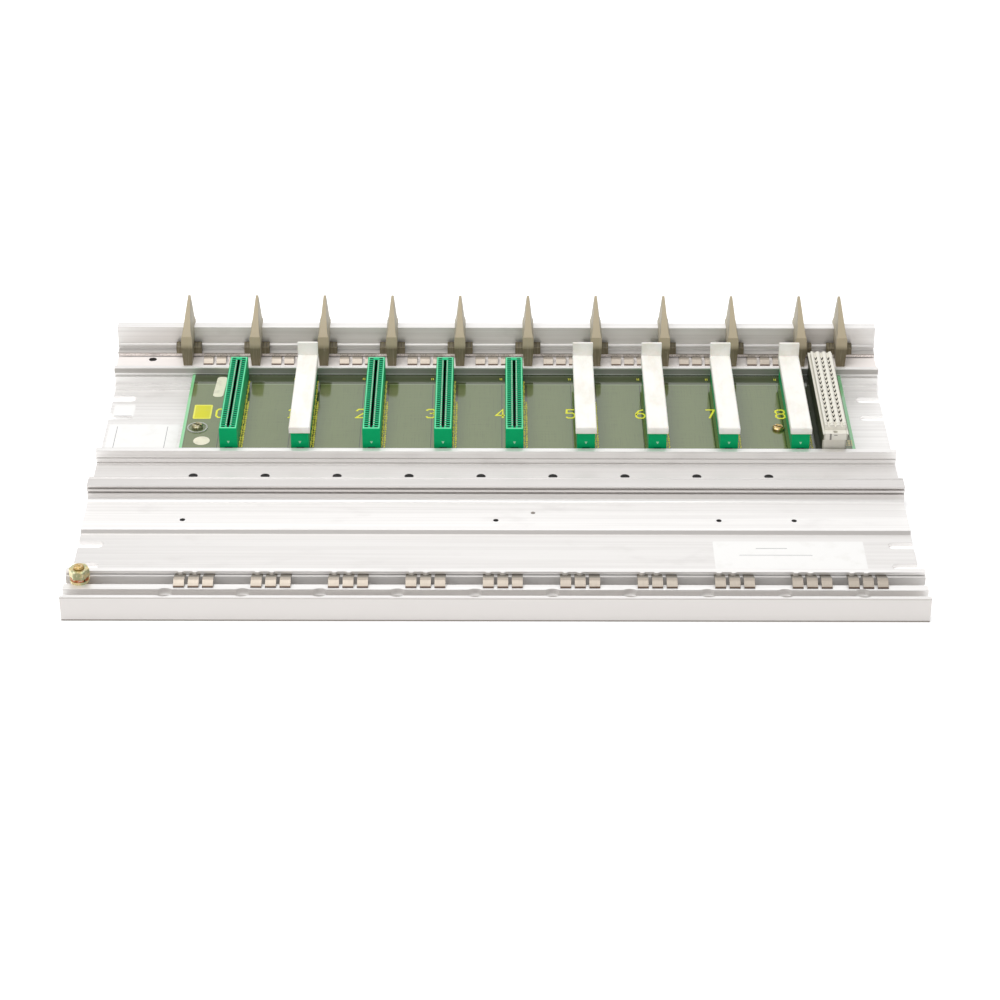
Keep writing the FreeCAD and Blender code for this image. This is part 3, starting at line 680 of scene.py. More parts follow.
def hole_walls(shader, x, up, z):
    """1 on the walls of the drilled holes, where shade is painted, since they look into the dark under
    the rack.
    """
    from_hole = x - FIRST_SLOT + VALLEY_HOLE_SHIFT
    from_hole = shader.maths("WRAP", from_hole, SLOT_PITCH / 2, -SLOT_PITCH / 2)
    walls = hole_wall(shader, from_hole, up, z, VALLEY_HOLE)
    for place in BAND_HOLE_PLACES:
        walls = walls | hole_wall(shader, x - place, up, z, BAND_HOLE)
    return walls | hole_wall(shader, x - CHANNEL_HOLE_PLACE, up, z, CHANNEL_HOLE)


def hole_wall(shader, across, up, z, hole):
    hole_up, radius, level = hole
    distance = shader.reach(across, up - hole_up)
    return shader.below(distance, radius + 0.1, radius + 0.2) * shader.below(
        z, level - 0.35, level - 0.1)


def spring_finish(metal):
    """Nickelled spring strip: bright where it bows, dull and streaked towards its tip, with painted
    shade on the tip and the side faces.
    """
    shader = Shader("nickel_spring", {"Metallic": 1.0})
    place = shader.place()
    y = shader.split(place)[1]
    rows = []
    for name in ("lower_contact_spring_0", "upper_contact_spring_0"):
        start, end = (corner.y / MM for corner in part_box(name))
        rows.append((y - start) / (end - start))
    on_upper = shader.step(y, 0.0, 1.0)
    along = rows[0] * (1 - on_upper) + rows[1] * on_upper
    lines = shader.grain(place, (5.0, 0.15, 0.15))
    clouds = shader.noise(place, 0.3, 2.0)
    dull = shader.below(along, 0.35, 0.55)
    tip = shader.below(along, 0.02, 0.06)
    sides = shader.step(abs(shader.facing()), 0.5, 0.8)
    base = shader.mix(dull * (0.5 + lines * 0.4), metal.spring, metal.spring_dull)
    base = shader.mix(shader.step(clouds, 0.6, 0.7) * 0.3, base, metal.spring_dull)
    # Painted shade on the tip, where it rests on the rib, and on the side faces.
    base = shader.mix(tip | sides, base, metal.spring_dark)
    rough = 0.36 + dull * 0.1 + clouds * 0.08
    normal = shader.bump(lines, 0.012, shader.soft_edges(0.12))
    return shader.surfaces({"Base Color": base, "Roughness": rough, "Normal": normal})


def zinc_finish(metal):
    """Yellow chromate with greenish patches and bright worn edges."""
    shader = Shader("yellow_zinc", {"Metallic": 0.85})
    place = shader.place()
    patches = shader.noise(place, 0.3, 2.0)
    wear = shader.noise(place, 0.9, 2.0)
    base = shader.mix(shader.step(patches, 0.45, 0.6), metal.zinc, metal.zinc_green)
    base = shader.mix(shader.step(wear, 0.5, 0.68) * 0.7, base, metal.zinc_worn)
    rough = 0.22 + patches * 0.16
    normal = shader.bump(wear, 0.03, shader.soft_edges(0.3))
    return shader.surfaces({"Base Color": base, "Roughness": rough, "Normal": normal})


def screw_finish(name, metal, colour, thread_pitch=0.0, slotted=None):
    """Turned metal, with painted highlights in patches, a thread where a pitch is given and a slot
    darkened with painted shade in a slotted screw.
    """
    shader = Shader(name, {"Metallic": 1.0})
    place = shader.place()
    x, y, z = shader.split(place)
    patches = shader.noise(place, 0.8, 3.0)
    # Painted highlights: patches mixed towards white.
    base = shader.mix(shader.step(patches, 0.5, 0.7) * 0.5, colour, WHITE)
    base = shader.mix(shader.step(0.45 - patches, 0.0, 0.12) * 0.5, base, metal.tarnish)
    height = shader.noise(place, 2.5, 2.0) * 0.05
    if thread_pitch:
        height = height + shader.maths("PINGPONG", z, thread_pitch / 2)
    if slotted:
        centre = middle(slotted) / MM
        low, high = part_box(slotted)
        radius = (high.x - low.x) / MM / 2
        reach = shader.reach(x - centre.x, y - centre.y)
        inside = shader.below(reach, radius * 0.84, radius * 0.88)
        slot = inside * shader.step(high.z / MM - z, 0.3, 0.45)
        # Painted shade in the slot.
        base = shader.mix(slot, base, metal.screw_slot)
    normal = shader.bump(height, 0.6, shader.soft_edges(0.15))
    return shader.surfaces({"Base Color": base, "Roughness": 0.28 + patches * 0.2,
                            "Normal": normal})


# Finishes of the moulded pieces

def moulded(shader, place, dimple, radius):
    """Normal of a moulded skin with fine dimples and soft edges."""
    skin = shader.noise(place, 2.2, 2.0)
    return shader.bump(skin, dimple, shader.soft_edges(radius))


def socket_finish(plastic):
    """Green sockets: a lighter top and a mint rim, both painted light, round two rows of cells and a
    card slot darkened with painted shade.
    """
    shader = Shader("green_plastic", {"Specular IOR Level": 0.08})
    place = shader.place()
    x, y, z = shader.split(place)
    low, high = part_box("slot_connector_0")
    across = abs(shader.maths("WRAP", x - FIRST_SLOT, SLOT_PITCH / 2, -SLOT_PITCH / 2))
    along = y - middle("slot_connector_0").y / MM
    from_middle = abs(along)
    half = (high.y - low.y) / MM / 2
    from_end = along + half
    depth = high.z / MM - z
    top = shader.below(depth, 0.02, 0.12)
    extra_cell = shader.band(from_middle, END_CELL - 0.75, END_CELL + 0.75)
    extra_cell = top * extra_cell * shader.band(across, CELL_INNER, CELL_OUTER, 0.06)
    slot_end = shader.band(along, -END_CELL - 1.0, -END_CELL + 2.6) * shader.below(across, 0.7, 0.8)
    inside = shader.below(across, CELL_OUTER - 0.1, CELL_OUTER) * shader.step(depth, 0.12, 0.4)
    inside = inside * shader.below(depth, *CELL_FLOOR)
    inside = inside * shader.below(from_middle, half - 1.0, half - 0.8)
    slot = inside * shader.below(across, *CARD_SLOT) * shader.step(depth, 0.3, 0.9)
    rim = shader.step(across, RIM_INNER, RIM_INNER + 0.15)
    rim = top * (rim | shader.step(from_middle, RIM_END, RIM_END + 0.2))
    in_row = abs(shader.maths("WRAP", along, CONTACT_PITCH, 0.0) - CONTACT_PITCH / 2)
    wide_cell = top * shader.band(across, CELL_INNER, RIM_INNER, 0.06)
    wide_cell = wide_cell * shader.below(in_row, 0.55, 0.65)
    wide_cell = wide_cell * shader.below(from_middle, END_CELL - 0.9, END_CELL - 0.8)
    notch = shader.below(across, *NOTCH_SIDE) * shader.step(depth, *NOTCH_TOP)
    notch = notch * shader.below(from_end, *NOTCH_END)
    mark_depth = depth - MARK_DEPTH
    mark = shader.below(across + mark_depth * 0.4, 0.45, 0.6)
    mark = mark * shader.band(mark_depth, -0.8, 0.7, 0.12) * shader.below(from_end, 0.1, 0.2)
    mottle = shader.noise(place, 0.5, 2.0)
    base = shader.mix(mottle * 0.12, plastic.green, plastic.green_light)
    # Painted light: the top faces are lighter than the sides.
    base = shader.mix(top, base, plastic.green_light)
    # Painted highlight on the rim round the top.
    base = shader.mix(rim * 0.95, base, plastic.green_rim)
    # Painted shade in the cells and on their widened and extra outlines.
    base = shader.mix(inside | wide_cell | extra_cell, base, plastic.green_cell)
    # Painted shade in the card slot, its end and the notch.
    base = shader.mix(slot | (slot_end * top) | notch, base, plastic.hollow)
    base = shader.mix(mark * 0.8, base, plastic.green_mark)
    return shader.surfaces({"Base Color": base, "Roughness": 0.36 + mottle * 0.1,
                            "Normal": moulded(shader, place, 0.02, 0.2)})


def cap_finish(plastic):
    """Off-white caps, a little yellowed in patches, and darker towards their skirts."""
    shader = Shader("white_plastic", {"Specular IOR Level": 0.4,
                                      "Subsurface Weight": 0.06, "Subsurface Scale": 0.002})
    place = shader.place()
    z = shader.split(place)[2]
    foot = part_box("dust_cap_1")[0].z / MM
    patches = shader.grain(place, (0.1, 0.04, 0.1), 4.0, 0.6)
    skirt = shader.below(z, foot, foot + CAP_SKIRT)
    dirt = shader.step(shader.noise(place, 0.6, 5.0, 0.7), 0.62, 0.8)
    base = shader.mix(shader.step(patches, 0.4, 0.7) * 0.55, plastic.cap, plastic.cap_shade)
    # Darker towards the skirt, and dirt in patches.
    base = shader.mix((skirt * 0.5) | (dirt * 0.35), base, plastic.cap_shade)
    rough = 0.42 + patches * 0.15
    return shader.surfaces({"Base Color": base, "Roughness": rough,
                            "Normal": moulded(shader, place, 0.03, 0.4)})


def interface_finish(plastic):
    """Cream socket with painted shade in the holes between its ribs, on its flanks, under its ledges
    and in its end groove.
    """
    shader = Shader("cream_plastic", {"Specular IOR Level": 0.35})
    place = shader.place()
    x, y, z = shader.split(place)
    centre = middle("interface_connector") / MM
    along = y - centre.y
    column = shader.maths("WRAP", x - centre.x, HOLE_COLUMN_PITCH / 2, -HOLE_COLUMN_PITCH / 2)
    row = shader.maths("WRAP", along - HOLE_ROW_PITCH / 2, HOLE_ROW_PITCH / 2, -HOLE_ROW_PITCH / 2)
    across = abs(x - centre.x)
    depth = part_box("interface_connector")[1].z / MM - z
    hole = shader.below(abs(column), HOLE_HALF, HOLE_HALF + 0.15)
    hole = hole * shader.below(abs(row), HOLE_HALF + 0.2, HOLE_HALF + 0.35)
    hole = hole * shader.below(across, HOLE_FIELD[0], HOLE_FIELD[0] + 0.1)
    hole = hole * shader.below(abs(along), HOLE_FIELD[1], HOLE_FIELD[1] + 0.2)
    flank = shader.step(across, FLANK, FLANK + 0.15) * shader.step(depth, 1.4, 2.4)
    ledge = shader.step(across, LEDGE, LEDGE + 0.2) * shader.band(depth, *LEDGE_DEPTH)
    under_ledge = shader.step(across, LEDGE_FOOT, LEDGE_FOOT + 0.2) * shader.step(depth, 4.4, 4.6)
    end_groove = shader.band(along, *END_GROOVE) * shader.below(depth, 0.8, 1.4)
    recess = shader.band(x - centre.x, *RECESS_ACROSS, 0.08) * shader.band(depth, *RECESS_DEPTH)
    key = shader.below(across, *KEY_SIDE) * shader.band(depth, *KEY_DEPTH, 0.08)
    front = shader.below(along, *NEAR_END)
    patches = shader.noise(place, 0.12, 3.0)
    base = shader.mix(patches * 0.4, plastic.cream, plastic.cap_shade)
    # Painted shade on the flanks and in the groove at the near end.
    base = shader.mix((flank * 0.45) | (end_groove * 0.5), base, plastic.cream_shade)
    base = shader.mix(under_ledge, base, plastic.cream_dark)
    # Painted light: the ledges' tops stay light inside the painted shade of the flanks.
    base = shader.mix(ledge * 0.8, base, plastic.cream)
    # Painted shade in the holes, and in the recess and key at the near end.
    base = shader.mix(hole | (front * (recess | key) * 0.7), base, plastic.cream_hole)
    return shader.surfaces({"Base Color": base, "Roughness": 0.42 + patches * 0.12,
                            "Normal": moulded(shader, place, 0.02, 0.3)})


def guide_finish(plastic):
    """Olive fins: pale wedge, flanks made paler with painted light, dark foot, ribbed dark ears and
    mould streaks.
    """
    shader = Shader("olive_plastic", {"Specular IOR Level": 0.4})
    place = shader.place()
    x, y, z = shader.split(place)
    streaks = shader.grain(place, (1.6, 0.2, 0.06), 3.0, 0.6)
    rub = shader.noise(place, 0.25, 3.0, 0.6)
    foot = shader.below(z, *FIN_FOOT)
    ear = shader.step(y - RACK_EDGE, *EAR_START) * shader.below(z, *EAR_TOP)
    ribs = ear * shader.step(shader.maths("PINGPONG", x, EAR_RIB), 0.7, 0.95)
    flank = shader.step(abs(shader.facing()), 0.3, 0.7) * (1 - ear)
    base = shader.mix(foot * 0.85, plastic.olive, plastic.olive_dark)
    base = shader.mix(shader.step(streaks, 0.45, 0.7) * 0.3, base, plastic.olive_light)
    # Painted light: the flanks are paler than the front of the wedge.
    base = shader.mix(flank * (1 - foot * 0.6) * 0.8, base, plastic.olive_light)
    base = shader.mix(ear * 0.7, base, plastic.olive_dark)
    base = shader.mix(ribs * 0.5, base, plastic.cream_hole)
    base = shader.mix(shader.step(rub, 0.62, 0.78) * 0.3, base, plastic.olive_light)
    return shader.surfaces({"Base Color": base, "Roughness": 0.42 + rub * 0.16,
                            "Normal": moulded(shader, place, 0.04, 0.35)})


def nylon_finish(plastic):
    shader = Shader("nylon", {"Roughness": 0.5})
    place = shader.place()
    patches = shader.noise(place, 0.5, 3.0)
    return shader.surfaces({"Base Color": shader.mix(patches * 0.5, plastic.cream, plastic.cap_shade),
                            "Normal": moulded(shader, place, 0.02, 0.3)})


def ring_finish(plastic):
    """Clear soft ring under the left screw, with a pale rim of painted highlight."""
    shader = Shader("clear_plastic", {"Specular IOR Level": 0.6})
    place = shader.place()
    x, y = shader.split(place)[:2]
    centre = middle("board_screw_ring") / MM
    rim = shader.step(shader.reach(x - centre.x, y - centre.y), *RING_RIM)
    patches = shader.noise(place, 0.7, 3.0)
    # Painted highlight: the rim is whiter and less clear.
    return shader.surfaces({"Base Color": shader.mix(rim, plastic.ring, WHITE),
                            "Alpha": 0.12 + rim * 0.24, "Roughness": 0.1 + patches * 0.15,
                            "Normal": shader.bump(patches, 0.1, shader.soft_edges(0.25))})


# Finishes of the board and its print

def board_finish(board):
    """Glossy olive solder mask over copper planes, with bare laminate at both ends."""
    shader = Shader("circuit_board", {"Coat Weight": 1.0, "Coat Roughness": 0.07, "Coat IOR": 1.9,
                                      "Specular IOR Level": 0.1})
    place = shader.place()
    x, y = shader.split(place)[:2]
    low, high = (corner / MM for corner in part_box("backplane_board"))
    screw = middle("board_screw_right") / MM
    interface_middle = middle("interface_connector").x / MM
    up = y - low.y
    down = high.y - y
    from_end = (x - low.x) & (high.x - x - RIGHT_END_WIDER)
    weave = shader.grain(place, (1.4, 0.05, 1.0), 1.0) * 0.5
    weave = weave + shader.grain(place, (0.05, 1.4, 1.0), 1.0) * 0.5
    clouds = shader.noise(place, 0.03, 3.0)
    bay = shader.maths("WRAP", x - FIRST_SLOT, SLOT_PITCH, 0.0)
    plane_line = shader.band(down, BARE_STRIP, PLANE_EDGE)
    plane_gap = shader.band(bay, *PLANE_GAP) * shader.step(down, PLANE_EDGE - 0.4, PLANE_EDGE)
    pin_ground = shader.band(bay, *PIN_FIELD) * shader.step(down, PIN_FIELD_END - 1.0, PIN_FIELD_END)
    bare_strip = shader.below(down, BARE_STRIP - 0.4, BARE_STRIP)
    # Dark ground round the right screw: partly bare clearance, partly painted shadow.
    screw_clearance_and_shadow = shader.below(shader.reach(x - screw.x, y - screw.y), *SCREW_GROUND)
    bare = strongest((plane_gap, 0.9), (pin_ground, 0.9), (bare_strip, 0.9), (screw_clearance_and_shadow, 0.8))
    beside = shader.band(x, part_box("slot_connector_8")[1].x / MM + FIELD_MARGIN, interface_middle)
    base = shader.mix(shader.step(clouds, 0.35, 0.65) * 0.3, board.mask, board.mask_light)
    base = shader.mix(shader.step(weave, 0.5, 0.66) * 0.2, base, board.mask_dark)
    # Darker mask where there is no copper, and painted shadow round the right screw.
    base = shader.mix(bare, base, board.mask_dark)
    base = shader.mix(beside * 0.85, base, board.slate)
    base = shader.mix(plane_line * 0.5, base, board.line)
    base = shader.mix(shader.below(from_end, *END_STRIP), base, board.edge)
    base = shader.mix(shader.band(from_end, *END_LINE) * 0.6, base, board.mask_dark)
    base = shader.mix(gilt_pads(shader, x, up), base, board.pads)
    height = weave * 0.4 - plane_gap * 0.6
    return shader.surfaces({"Base Color": base, "Roughness": 0.36 + clouds * 0.12,
                            "Normal": shader.bump(height, 0.012)})


def gilt_pads(shader, x, up):
    """1 on the two columns of pads beside the interface socket."""
    width, start, end = PAD_FIELD
    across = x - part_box("interface_connector")[1].x / MM - PAD_MARGIN
    column = abs(shader.maths("PINGPONG", across, width / 2) - width / 4)
    row = shader.maths("PINGPONG", up, CONTACT_PITCH / 2)
    field = shader.band(across, 0.0, width) * shader.band(up, start, end)
    return field * shader.step(column, 0.2, 0.4) * shader.step(row, 0.25, 0.4)


def print_finish(name, board, colour):
    """Screen print, a little uneven."""
    shader = Shader(name, {"Specular IOR Level": 0.4})
    uneven = shader.noise(shader.place(), 1.2, 3.0)
    return shader.surfaces({"Base Color": shader.mix(uneven * 0.15, colour, board.print_worn),
                            "Roughness": 0.4 + uneven * 0.1})


def silver_finish(contacts):
    """Silver plating with dull patches."""
    shader = Shader("contact_silver", {"Metallic": 1.0})
    clouds = shader.noise(shader.place(), 0.9, 3.0)
    dull = shader.step(clouds, 0.5, 0.75) * 0.4
    return shader.surfaces({"Base Color": shader.mix(dull, contacts.silver, contacts.silver_dull),
                            "Roughness": 0.22 + clouds * 0.16})


def paper_finish(name, labels, colour, marks):
    """Label stock with a faint fibre and slightly soiled patches."""
    shader = Shader(name, {"Specular IOR Level": 0.35})
    place = shader.place()
    fibre = shader.noise(place, 3.0, 3.0)
    soil = shader.noise(place, 0.12, 4.0, 0.6)
    base = shader.mix(shader.step(soil, 0.5, 0.75) * marks, colour, labels.soil)
    return shader.surfaces({"Base Color": base, "Roughness": 0.45 + fibre * 0.15,
                            "Normal": shader.bump(fibre, 0.01)})


# Operators

class CARDRACK_OT_extrusion(bpy.types.Operator):
    """Give the aluminium extrusion its finish"""

    bl_idname = "card_rack.extrusion"
    bl_label = "Extrusion"

    def execute(self, context):
        dress(["rack_profile"], aluminium_finish(context.scene.card_rack_metal))
        return {"FINISHED"}


class CARDRACK_OT_board(bpy.types.Operator):
    """Finish the backplane board and print its slot digits and pin numbers"""

    bl_idname = "card_rack.board"
    bl_label = "Backplane board"

    def execute(self, context):
        board = context.scene.card_rack_board
        dress(["backplane_board"], board_finish(board))
        low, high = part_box("backplane_board")
        floor, top = high.z, high.z + board.print_thickness
        digits = bmesh.new()
        for slot in SLOTS:
            x = middle(f"slot_connector_{slot}").x - board.digit_offset - board.digit_width / 2
            add_number(digits, str(slot), (x, low.y + board.digit_level),
                       (board.digit_width, board.digit_height), board.digit_stroke, floor, top)
        add_piece("slot_digits", digits, print_finish("digit_print", board, board.print_yellow))
        self.print_pins(board, print_finish("pin_print", board, board.pin_yellow), floor, top)
        return {"FINISHED"}

    def print_pins(self, board, ink, floor, top):
        """Small numbers to the right of each socket: one column, with a shorter one outside it."""
        height = board.pin_height
        size = (height * PIN_NUMBER_SHAPE, height)
        for slot in SLOTS:
            socket_low, socket_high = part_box(f"slot_connector_{slot}")
            pins = bmesh.new()
            for column, rows in enumerate((board.pin_rows, board.pin_rows_outer)):
                x = socket_high.x + (PIN_COLUMN_START + PIN_COLUMN_PITCH * column) * MM
                for row in range(rows):
                    y = socket_low.y + PIN_ROW_START * MM + row * board.pin_pitch
                    label = str(2 * row + column + 1)[-1]
                    add_number(pins, label, (x, y), size, board.pin_stroke, floor, top)
            left, down = CORNER_NUMBER
            mark = (socket_low.x - left * MM, socket_high.y - down * MM)
            add_number(pins, "11", mark, size, board.pin_stroke, floor, top)
            add_piece(f"pin_numbers_{slot}", pins, ink)


class CARDRACK_OT_sockets(bpy.types.Operator):
    """Finish the slot sockets and put contacts in the open ones"""

    bl_idname = "card_rack.sockets"
    bl_label = "Slot sockets"

    def execute(self, context):
        contacts = context.scene.card_rack_contacts
        dress([f"slot_connector_{slot}" for slot in SLOTS],
              socket_finish(context.scene.card_rack_plastic))
        silver = silver_finish(contacts)
        for slot in OPEN_SLOTS:
            add_piece(f"slot_contacts_{slot}", self.contacts(contacts, slot), silver)
        return {"FINISHED"}

    def contacts(self, contacts, slot):
        """Bent strips on both sides of the card slot, one in every cell."""
        centre = middle(f"slot_connector_{slot}")
        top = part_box(f"slot_connector_{slot}")[1].z
        mesh = bmesh.new()
        for side in (-1, 1):
            line = [(centre.x + side * a * MM, top + b * MM) for a, b in CONTACT_BEND]
            for k in range(contacts.count):
                y = centre.y + (k - (contacts.count - 1) / 2) * contacts.pitch
                self.add_strip(mesh, line, y, contacts)
        return mesh

    def add_strip(self, mesh, line, y, contacts):
        """Bent strip that tapers to a sharp edge at either end."""
        sides = (y - contacts.width / 2, y + contacts.width / 2)
        rings = []
        for x, z in line[1:-1]:
            corners = [(x, side, z) for side in sides]
            corners += [(x, side, z - contacts.thickness) for side in reversed(sides)]
            rings.append([mesh.verts.new(corner) for corner in corners])
        ends = [[mesh.verts.new((x, side, z)) for side in sides] for x, z in (line[0], line[-1])]
        for first, second in zip(rings, rings[1:]):
            for k in range(4):
                after = (k + 1) % 4
                mesh.faces.new((first[k], first[after], second[after], second[k]))
        for ring, end in ((rings[0], ends[0]), (rings[-1], ends[1])):
            mesh.faces.new((ring[0], ring[1], end[1], end[0]))
            mesh.faces.new((ring[3], ring[2], end[1], end[0]))
            mesh.faces.new((ring[0], ring[3], end[0]))
            mesh.faces.new((ring[1], ring[2], end[1]))


class CARDRACK_OT_dust_caps(bpy.types.Operator):
    """Give the dust caps their finish"""

    bl_idname = "card_rack.dust_caps"
    bl_label = "Dust caps"

    def execute(self, context):
        dress([f"dust_cap_{slot}" for slot in CAPPED_SLOTS],
              cap_finish(context.scene.card_rack_plastic))
        return {"FINISHED"}


class CARDRACK_OT_interface(bpy.types.Operator):
    """Give the interface socket its finish"""

    bl_idname = "card_rack.interface"
    bl_label = "Interface socket"

    def execute(self, context):
        dress(["interface_connector"], interface_finish(context.scene.card_rack_plastic))
        return {"FINISHED"}


class CARDRACK_OT_guides(bpy.types.Operator):
    """Give the guide fins their finish"""

    bl_idname = "card_rack.guides"
    bl_label = "Guide fins"

    def execute(self, context):
        dress([f"card_guide_{k}" for k in GUIDES], guide_finish(context.scene.card_rack_plastic))
        return {"FINISHED"}


class CARDRACK_OT_springs(bpy.types.Operator):
    """Give the contact springs their finish"""

    bl_idname = "card_rack.springs"
    bl_label = "Contact springs"

    def execute(self, context):
        names = [f"{row}_contact_spring_{k}" for row in ("lower", "upper") for k in SPRINGS]
        dress(names, spring_finish(context.scene.card_rack_metal))
        return {"FINISHED"}


class CARDRACK_OT_earth_terminal(bpy.types.Operator):
    """Give the earth terminal its finishes"""

    bl_idname = "card_rack.earth_terminal"
    bl_label = "Earth terminal"

    def execute(self, context):
        metal = context.scene.card_rack_metal
        dress(["earth_nut", "earth_washer"], zinc_finish(metal))
        dress(["earth_stud"], screw_finish("threaded_brass", metal, metal.brass, thread_pitch=1.0))
        dress(["earth_lock_washer"], screw_finish("copper_washer", metal, metal.copper))
        return {"FINISHED"}


class CARDRACK_OT_board_screws(bpy.types.Operator):
    """Give the board screws, their ring and posts their finishes"""

    bl_idname = "card_rack.board_screws"
    bl_label = "Board screws"

    def execute(self, context):
        metal = context.scene.card_rack_metal
        dress(["board_screw_left"], screw_finish(
            "dark_screw", metal, metal.dark_screw, slotted="board_screw_left"))
        dress(["board_screw_right"], screw_finish(
            "brass_screw", metal, metal.brass, slotted="board_screw_right"))
        dress(["board_screw_ring"], ring_finish(context.scene.card_rack_plastic))
        dress(["board_posts"], nylon_finish(context.scene.card_rack_plastic))
        return {"FINISHED"}


class CARDRACK_OT_labels(bpy.types.Operator):
    """Lay the bare labels and stickers on the board and the extrusion"""

    bl_idname = "card_rack.labels"
    bl_label = "Labels"

    def execute(self, context):
        labels = context.scene.card_rack_labels
        board_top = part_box("backplane_board")[1].z / MM
        ivory = paper_finish("ivory_paper", labels, labels.ivory, 0.5)
        paper = paper_finish("white_paper", labels, labels.paper, 0.1)
        yellow = paper_finish("yellow_paper", labels, labels.yellow, 0.15)
        border = paper_finish("yellow_border", labels, labels.yellow_edge, 0.1)
        ink = paper_finish("label_ink", labels, labels.ink, 0.0)
        for name, material, level, outline in (
                ("yellow_border", border, board_top, rounded(-186.9, -175.7, 201.0, 218.0, 0.9)),
                ("yellow_sticker", yellow, board_top + labels.thickness / MM,
                 rounded(-185.9, -176.7, 202.3, 216.7, 0.5)),
                ("oval_sticker", ivory, board_top, oval(-178.9, 174.7, 5.0, 5.0)),
                ("strip_sticker", ivory, board_top, self.slanted_strip()),
                ("type_label", paper, BAY_FLOOR, rounded(-239.6, -196.0, 176.0, 210.0, 0.6)),
                ("small_label", paper, BAY_FLOOR, rounded(-239.0, -226.0, 220.0, 234.5, 0.6)),
                ("asset_label", paper, BAY_FLOOR, rounded(125.5, 212.5, 49.0, 78.0, 0.8))):
            mesh = bmesh.new()
            add_prism(mesh, on_rack(outline), level * MM, level * MM + labels.thickness)
            add_piece(name, mesh, material)
        level = BAY_FLOOR * MM + labels.thickness
        mesh = bmesh.new()
        for rule in LABEL_RULES:
            add_stroke(mesh, on_rack(rule), labels.rule_width, level, level + labels.thickness / 4)
        add_piece("label_rules", mesh, ink)
        return {"FINISHED"}

    def slanted_strip(self):
        """Rounded strip that leans with the far corner of the board."""
        turn = Matrix.Rotation(math.radians(-3.0), 2)
        centre = Vector((-173.1, 240.6))
        return [tuple(centre + turn @ Vector(p)) for p in rounded(-3.2, 3.2, -12.6, 12.6, 2.4)]


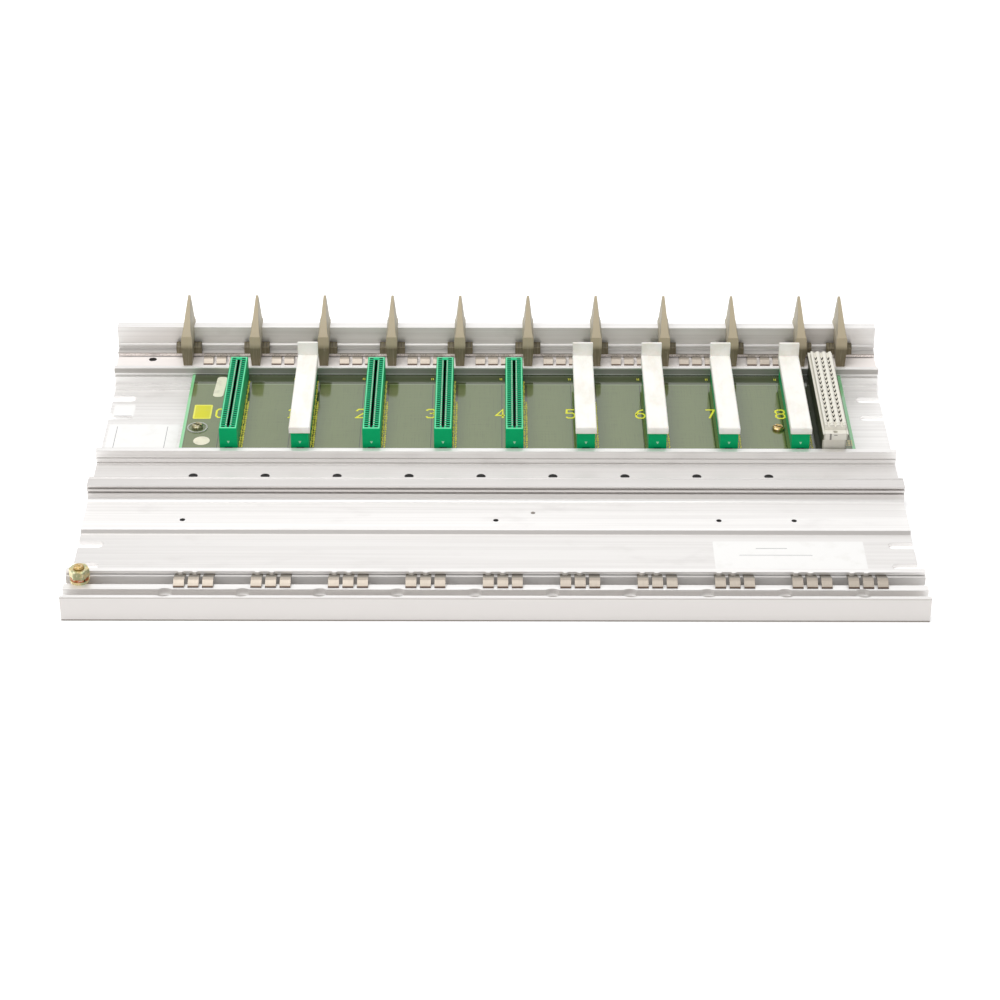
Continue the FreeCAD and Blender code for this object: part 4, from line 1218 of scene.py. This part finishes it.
class CARDRACK_OT_stage(bpy.types.Operator):
    """Set up the floor, the lights and the camera"""

    bl_idname = "card_rack.stage"
    bl_label = "Stage"

    def execute(self, context):
        studio = context.scene.card_rack_studio
        self.floor(studio)
        self.world(context, studio)
        self.lights(studio)
        self.camera(context, studio)
        context.scene.view_settings.view_transform = "Standard"
        return {"FINISHED"}

    def floor(self, studio):
        mesh = bmesh.new()
        bmesh.ops.create_grid(mesh, x_segments=1, y_segments=1, size=studio.floor_size / 2)
        data = bpy.data.meshes.new("floor")
        mesh.to_mesh(data)
        mesh.free()
        shader = Shader("floor_paint", {"Base Color": (*studio.floor, 1.0), "Roughness": 0.9,
                                        "Emission Color": (*WHITE, 1.0),
                                        "Emission Strength": studio.floor_glow})
        data.materials.append(shader.material)
        floor = bpy.data.objects.new("floor", data)
        floor.location.z = cad_low.z
        bpy.context.scene.collection.objects.link(floor)

    def world(self, context, studio):
        world = bpy.data.worlds.new("studio")
        world.use_nodes = True
        background = world.node_tree.nodes["Background"]
        background.inputs["Color"].default_value = (*WHITE, 1.0)
        background.inputs["Strength"].default_value = studio.world
        context.scene.world = world

    def lights(self, studio):
        for name, place, size, power in (
                ("key_light", (-0.5, -0.1, 1.8), 1.6, studio.key),
                ("fill_light", (0.4, -2.0, 0.5), 1.4, studio.fill),
                ("rear_light", (0.3, 1.8, 1.2), 2.0, studio.rear)):
            data = bpy.data.lights.new(name, "AREA")
            data.shape = "SQUARE"
            data.size = size
            data.energy = power
            light = bpy.data.objects.new(name, data)
            light.location = place
            light.rotation_euler = (-Vector(place)).to_track_quat("-Z", "Y").to_euler()
            bpy.context.scene.collection.objects.link(light)

    def camera(self, context, studio):
        data = bpy.data.cameras.new("camera")
        data.lens = studio.focal_length
        data.sensor_width = studio.sensor
        data.dof.use_dof = False
        turn = Matrix.Rotation(-studio.yaw, 4, "Z")
        turn = turn @ Matrix.Rotation(math.pi / 2 - studio.pitch, 4, "X")
        turn = turn @ Matrix.Rotation(studio.roll, 4, "Z")
        camera = bpy.data.objects.new("camera", data)
        camera.matrix_world = Matrix.Translation(studio.camera_place) @ turn
        bpy.context.scene.collection.objects.link(camera)
        context.scene.camera = camera


OPERATORS = (
    CARDRACK_OT_extrusion,
    CARDRACK_OT_board,
    CARDRACK_OT_sockets,
    CARDRACK_OT_dust_caps,
    CARDRACK_OT_interface,
    CARDRACK_OT_guides,
    CARDRACK_OT_springs,
    CARDRACK_OT_earth_terminal,
    CARDRACK_OT_board_screws,
    CARDRACK_OT_labels,
    CARDRACK_OT_stage,
)
GROUPS = {
    "card_rack_metal": CardRackMetal,
    "card_rack_plastic": CardRackPlastic,
    "card_rack_board": CardRackBoard,
    "card_rack_contacts": CardRackContacts,
    "card_rack_labels": CardRackLabels,
    "card_rack_studio": CardRackStudio,
}


class CARDRACK_PT_panel(bpy.types.Panel):
    """Lists the steps that dress the card rack"""

    bl_idname = "CARDRACK_PT_panel"
    bl_label = "Card rack"
    bl_space_type = "VIEW_3D"
    bl_region_type = "UI"
    bl_category = "Card rack"

    def draw(self, context):
        for operator in OPERATORS:
            self.layout.operator(operator.bl_idname)
        for name, group in GROUPS.items():
            settings = getattr(context.scene, name)
            box = self.layout.box()
            for field in group.__annotations__:
                box.prop(settings, field)


def register():
    for group in GROUPS.values():
        bpy.utils.register_class(group)
    for name, group in GROUPS.items():
        setattr(bpy.types.Scene, name, PointerProperty(type=group))
    for operator in OPERATORS:
        bpy.utils.register_class(operator)
    bpy.utils.register_class(CARDRACK_PT_panel)


def unregister():
    bpy.utils.unregister_class(CARDRACK_PT_panel)
    for operator in reversed(OPERATORS):
        bpy.utils.unregister_class(operator)
    for name in GROUPS:
        delattr(bpy.types.Scene, name)
    for group in reversed(GROUPS.values()):
        bpy.utils.unregister_class(group)


def main():
    register()
    steps = bpy.ops.card_rack
    steps.extrusion()
    steps.board()
    steps.sockets()
    steps.dust_caps()
    steps.interface()
    steps.guides()
    steps.springs()
    steps.earth_terminal()
    steps.board_screws()
    steps.labels()
    steps.stage()


if __name__ == "__main__":
    main()
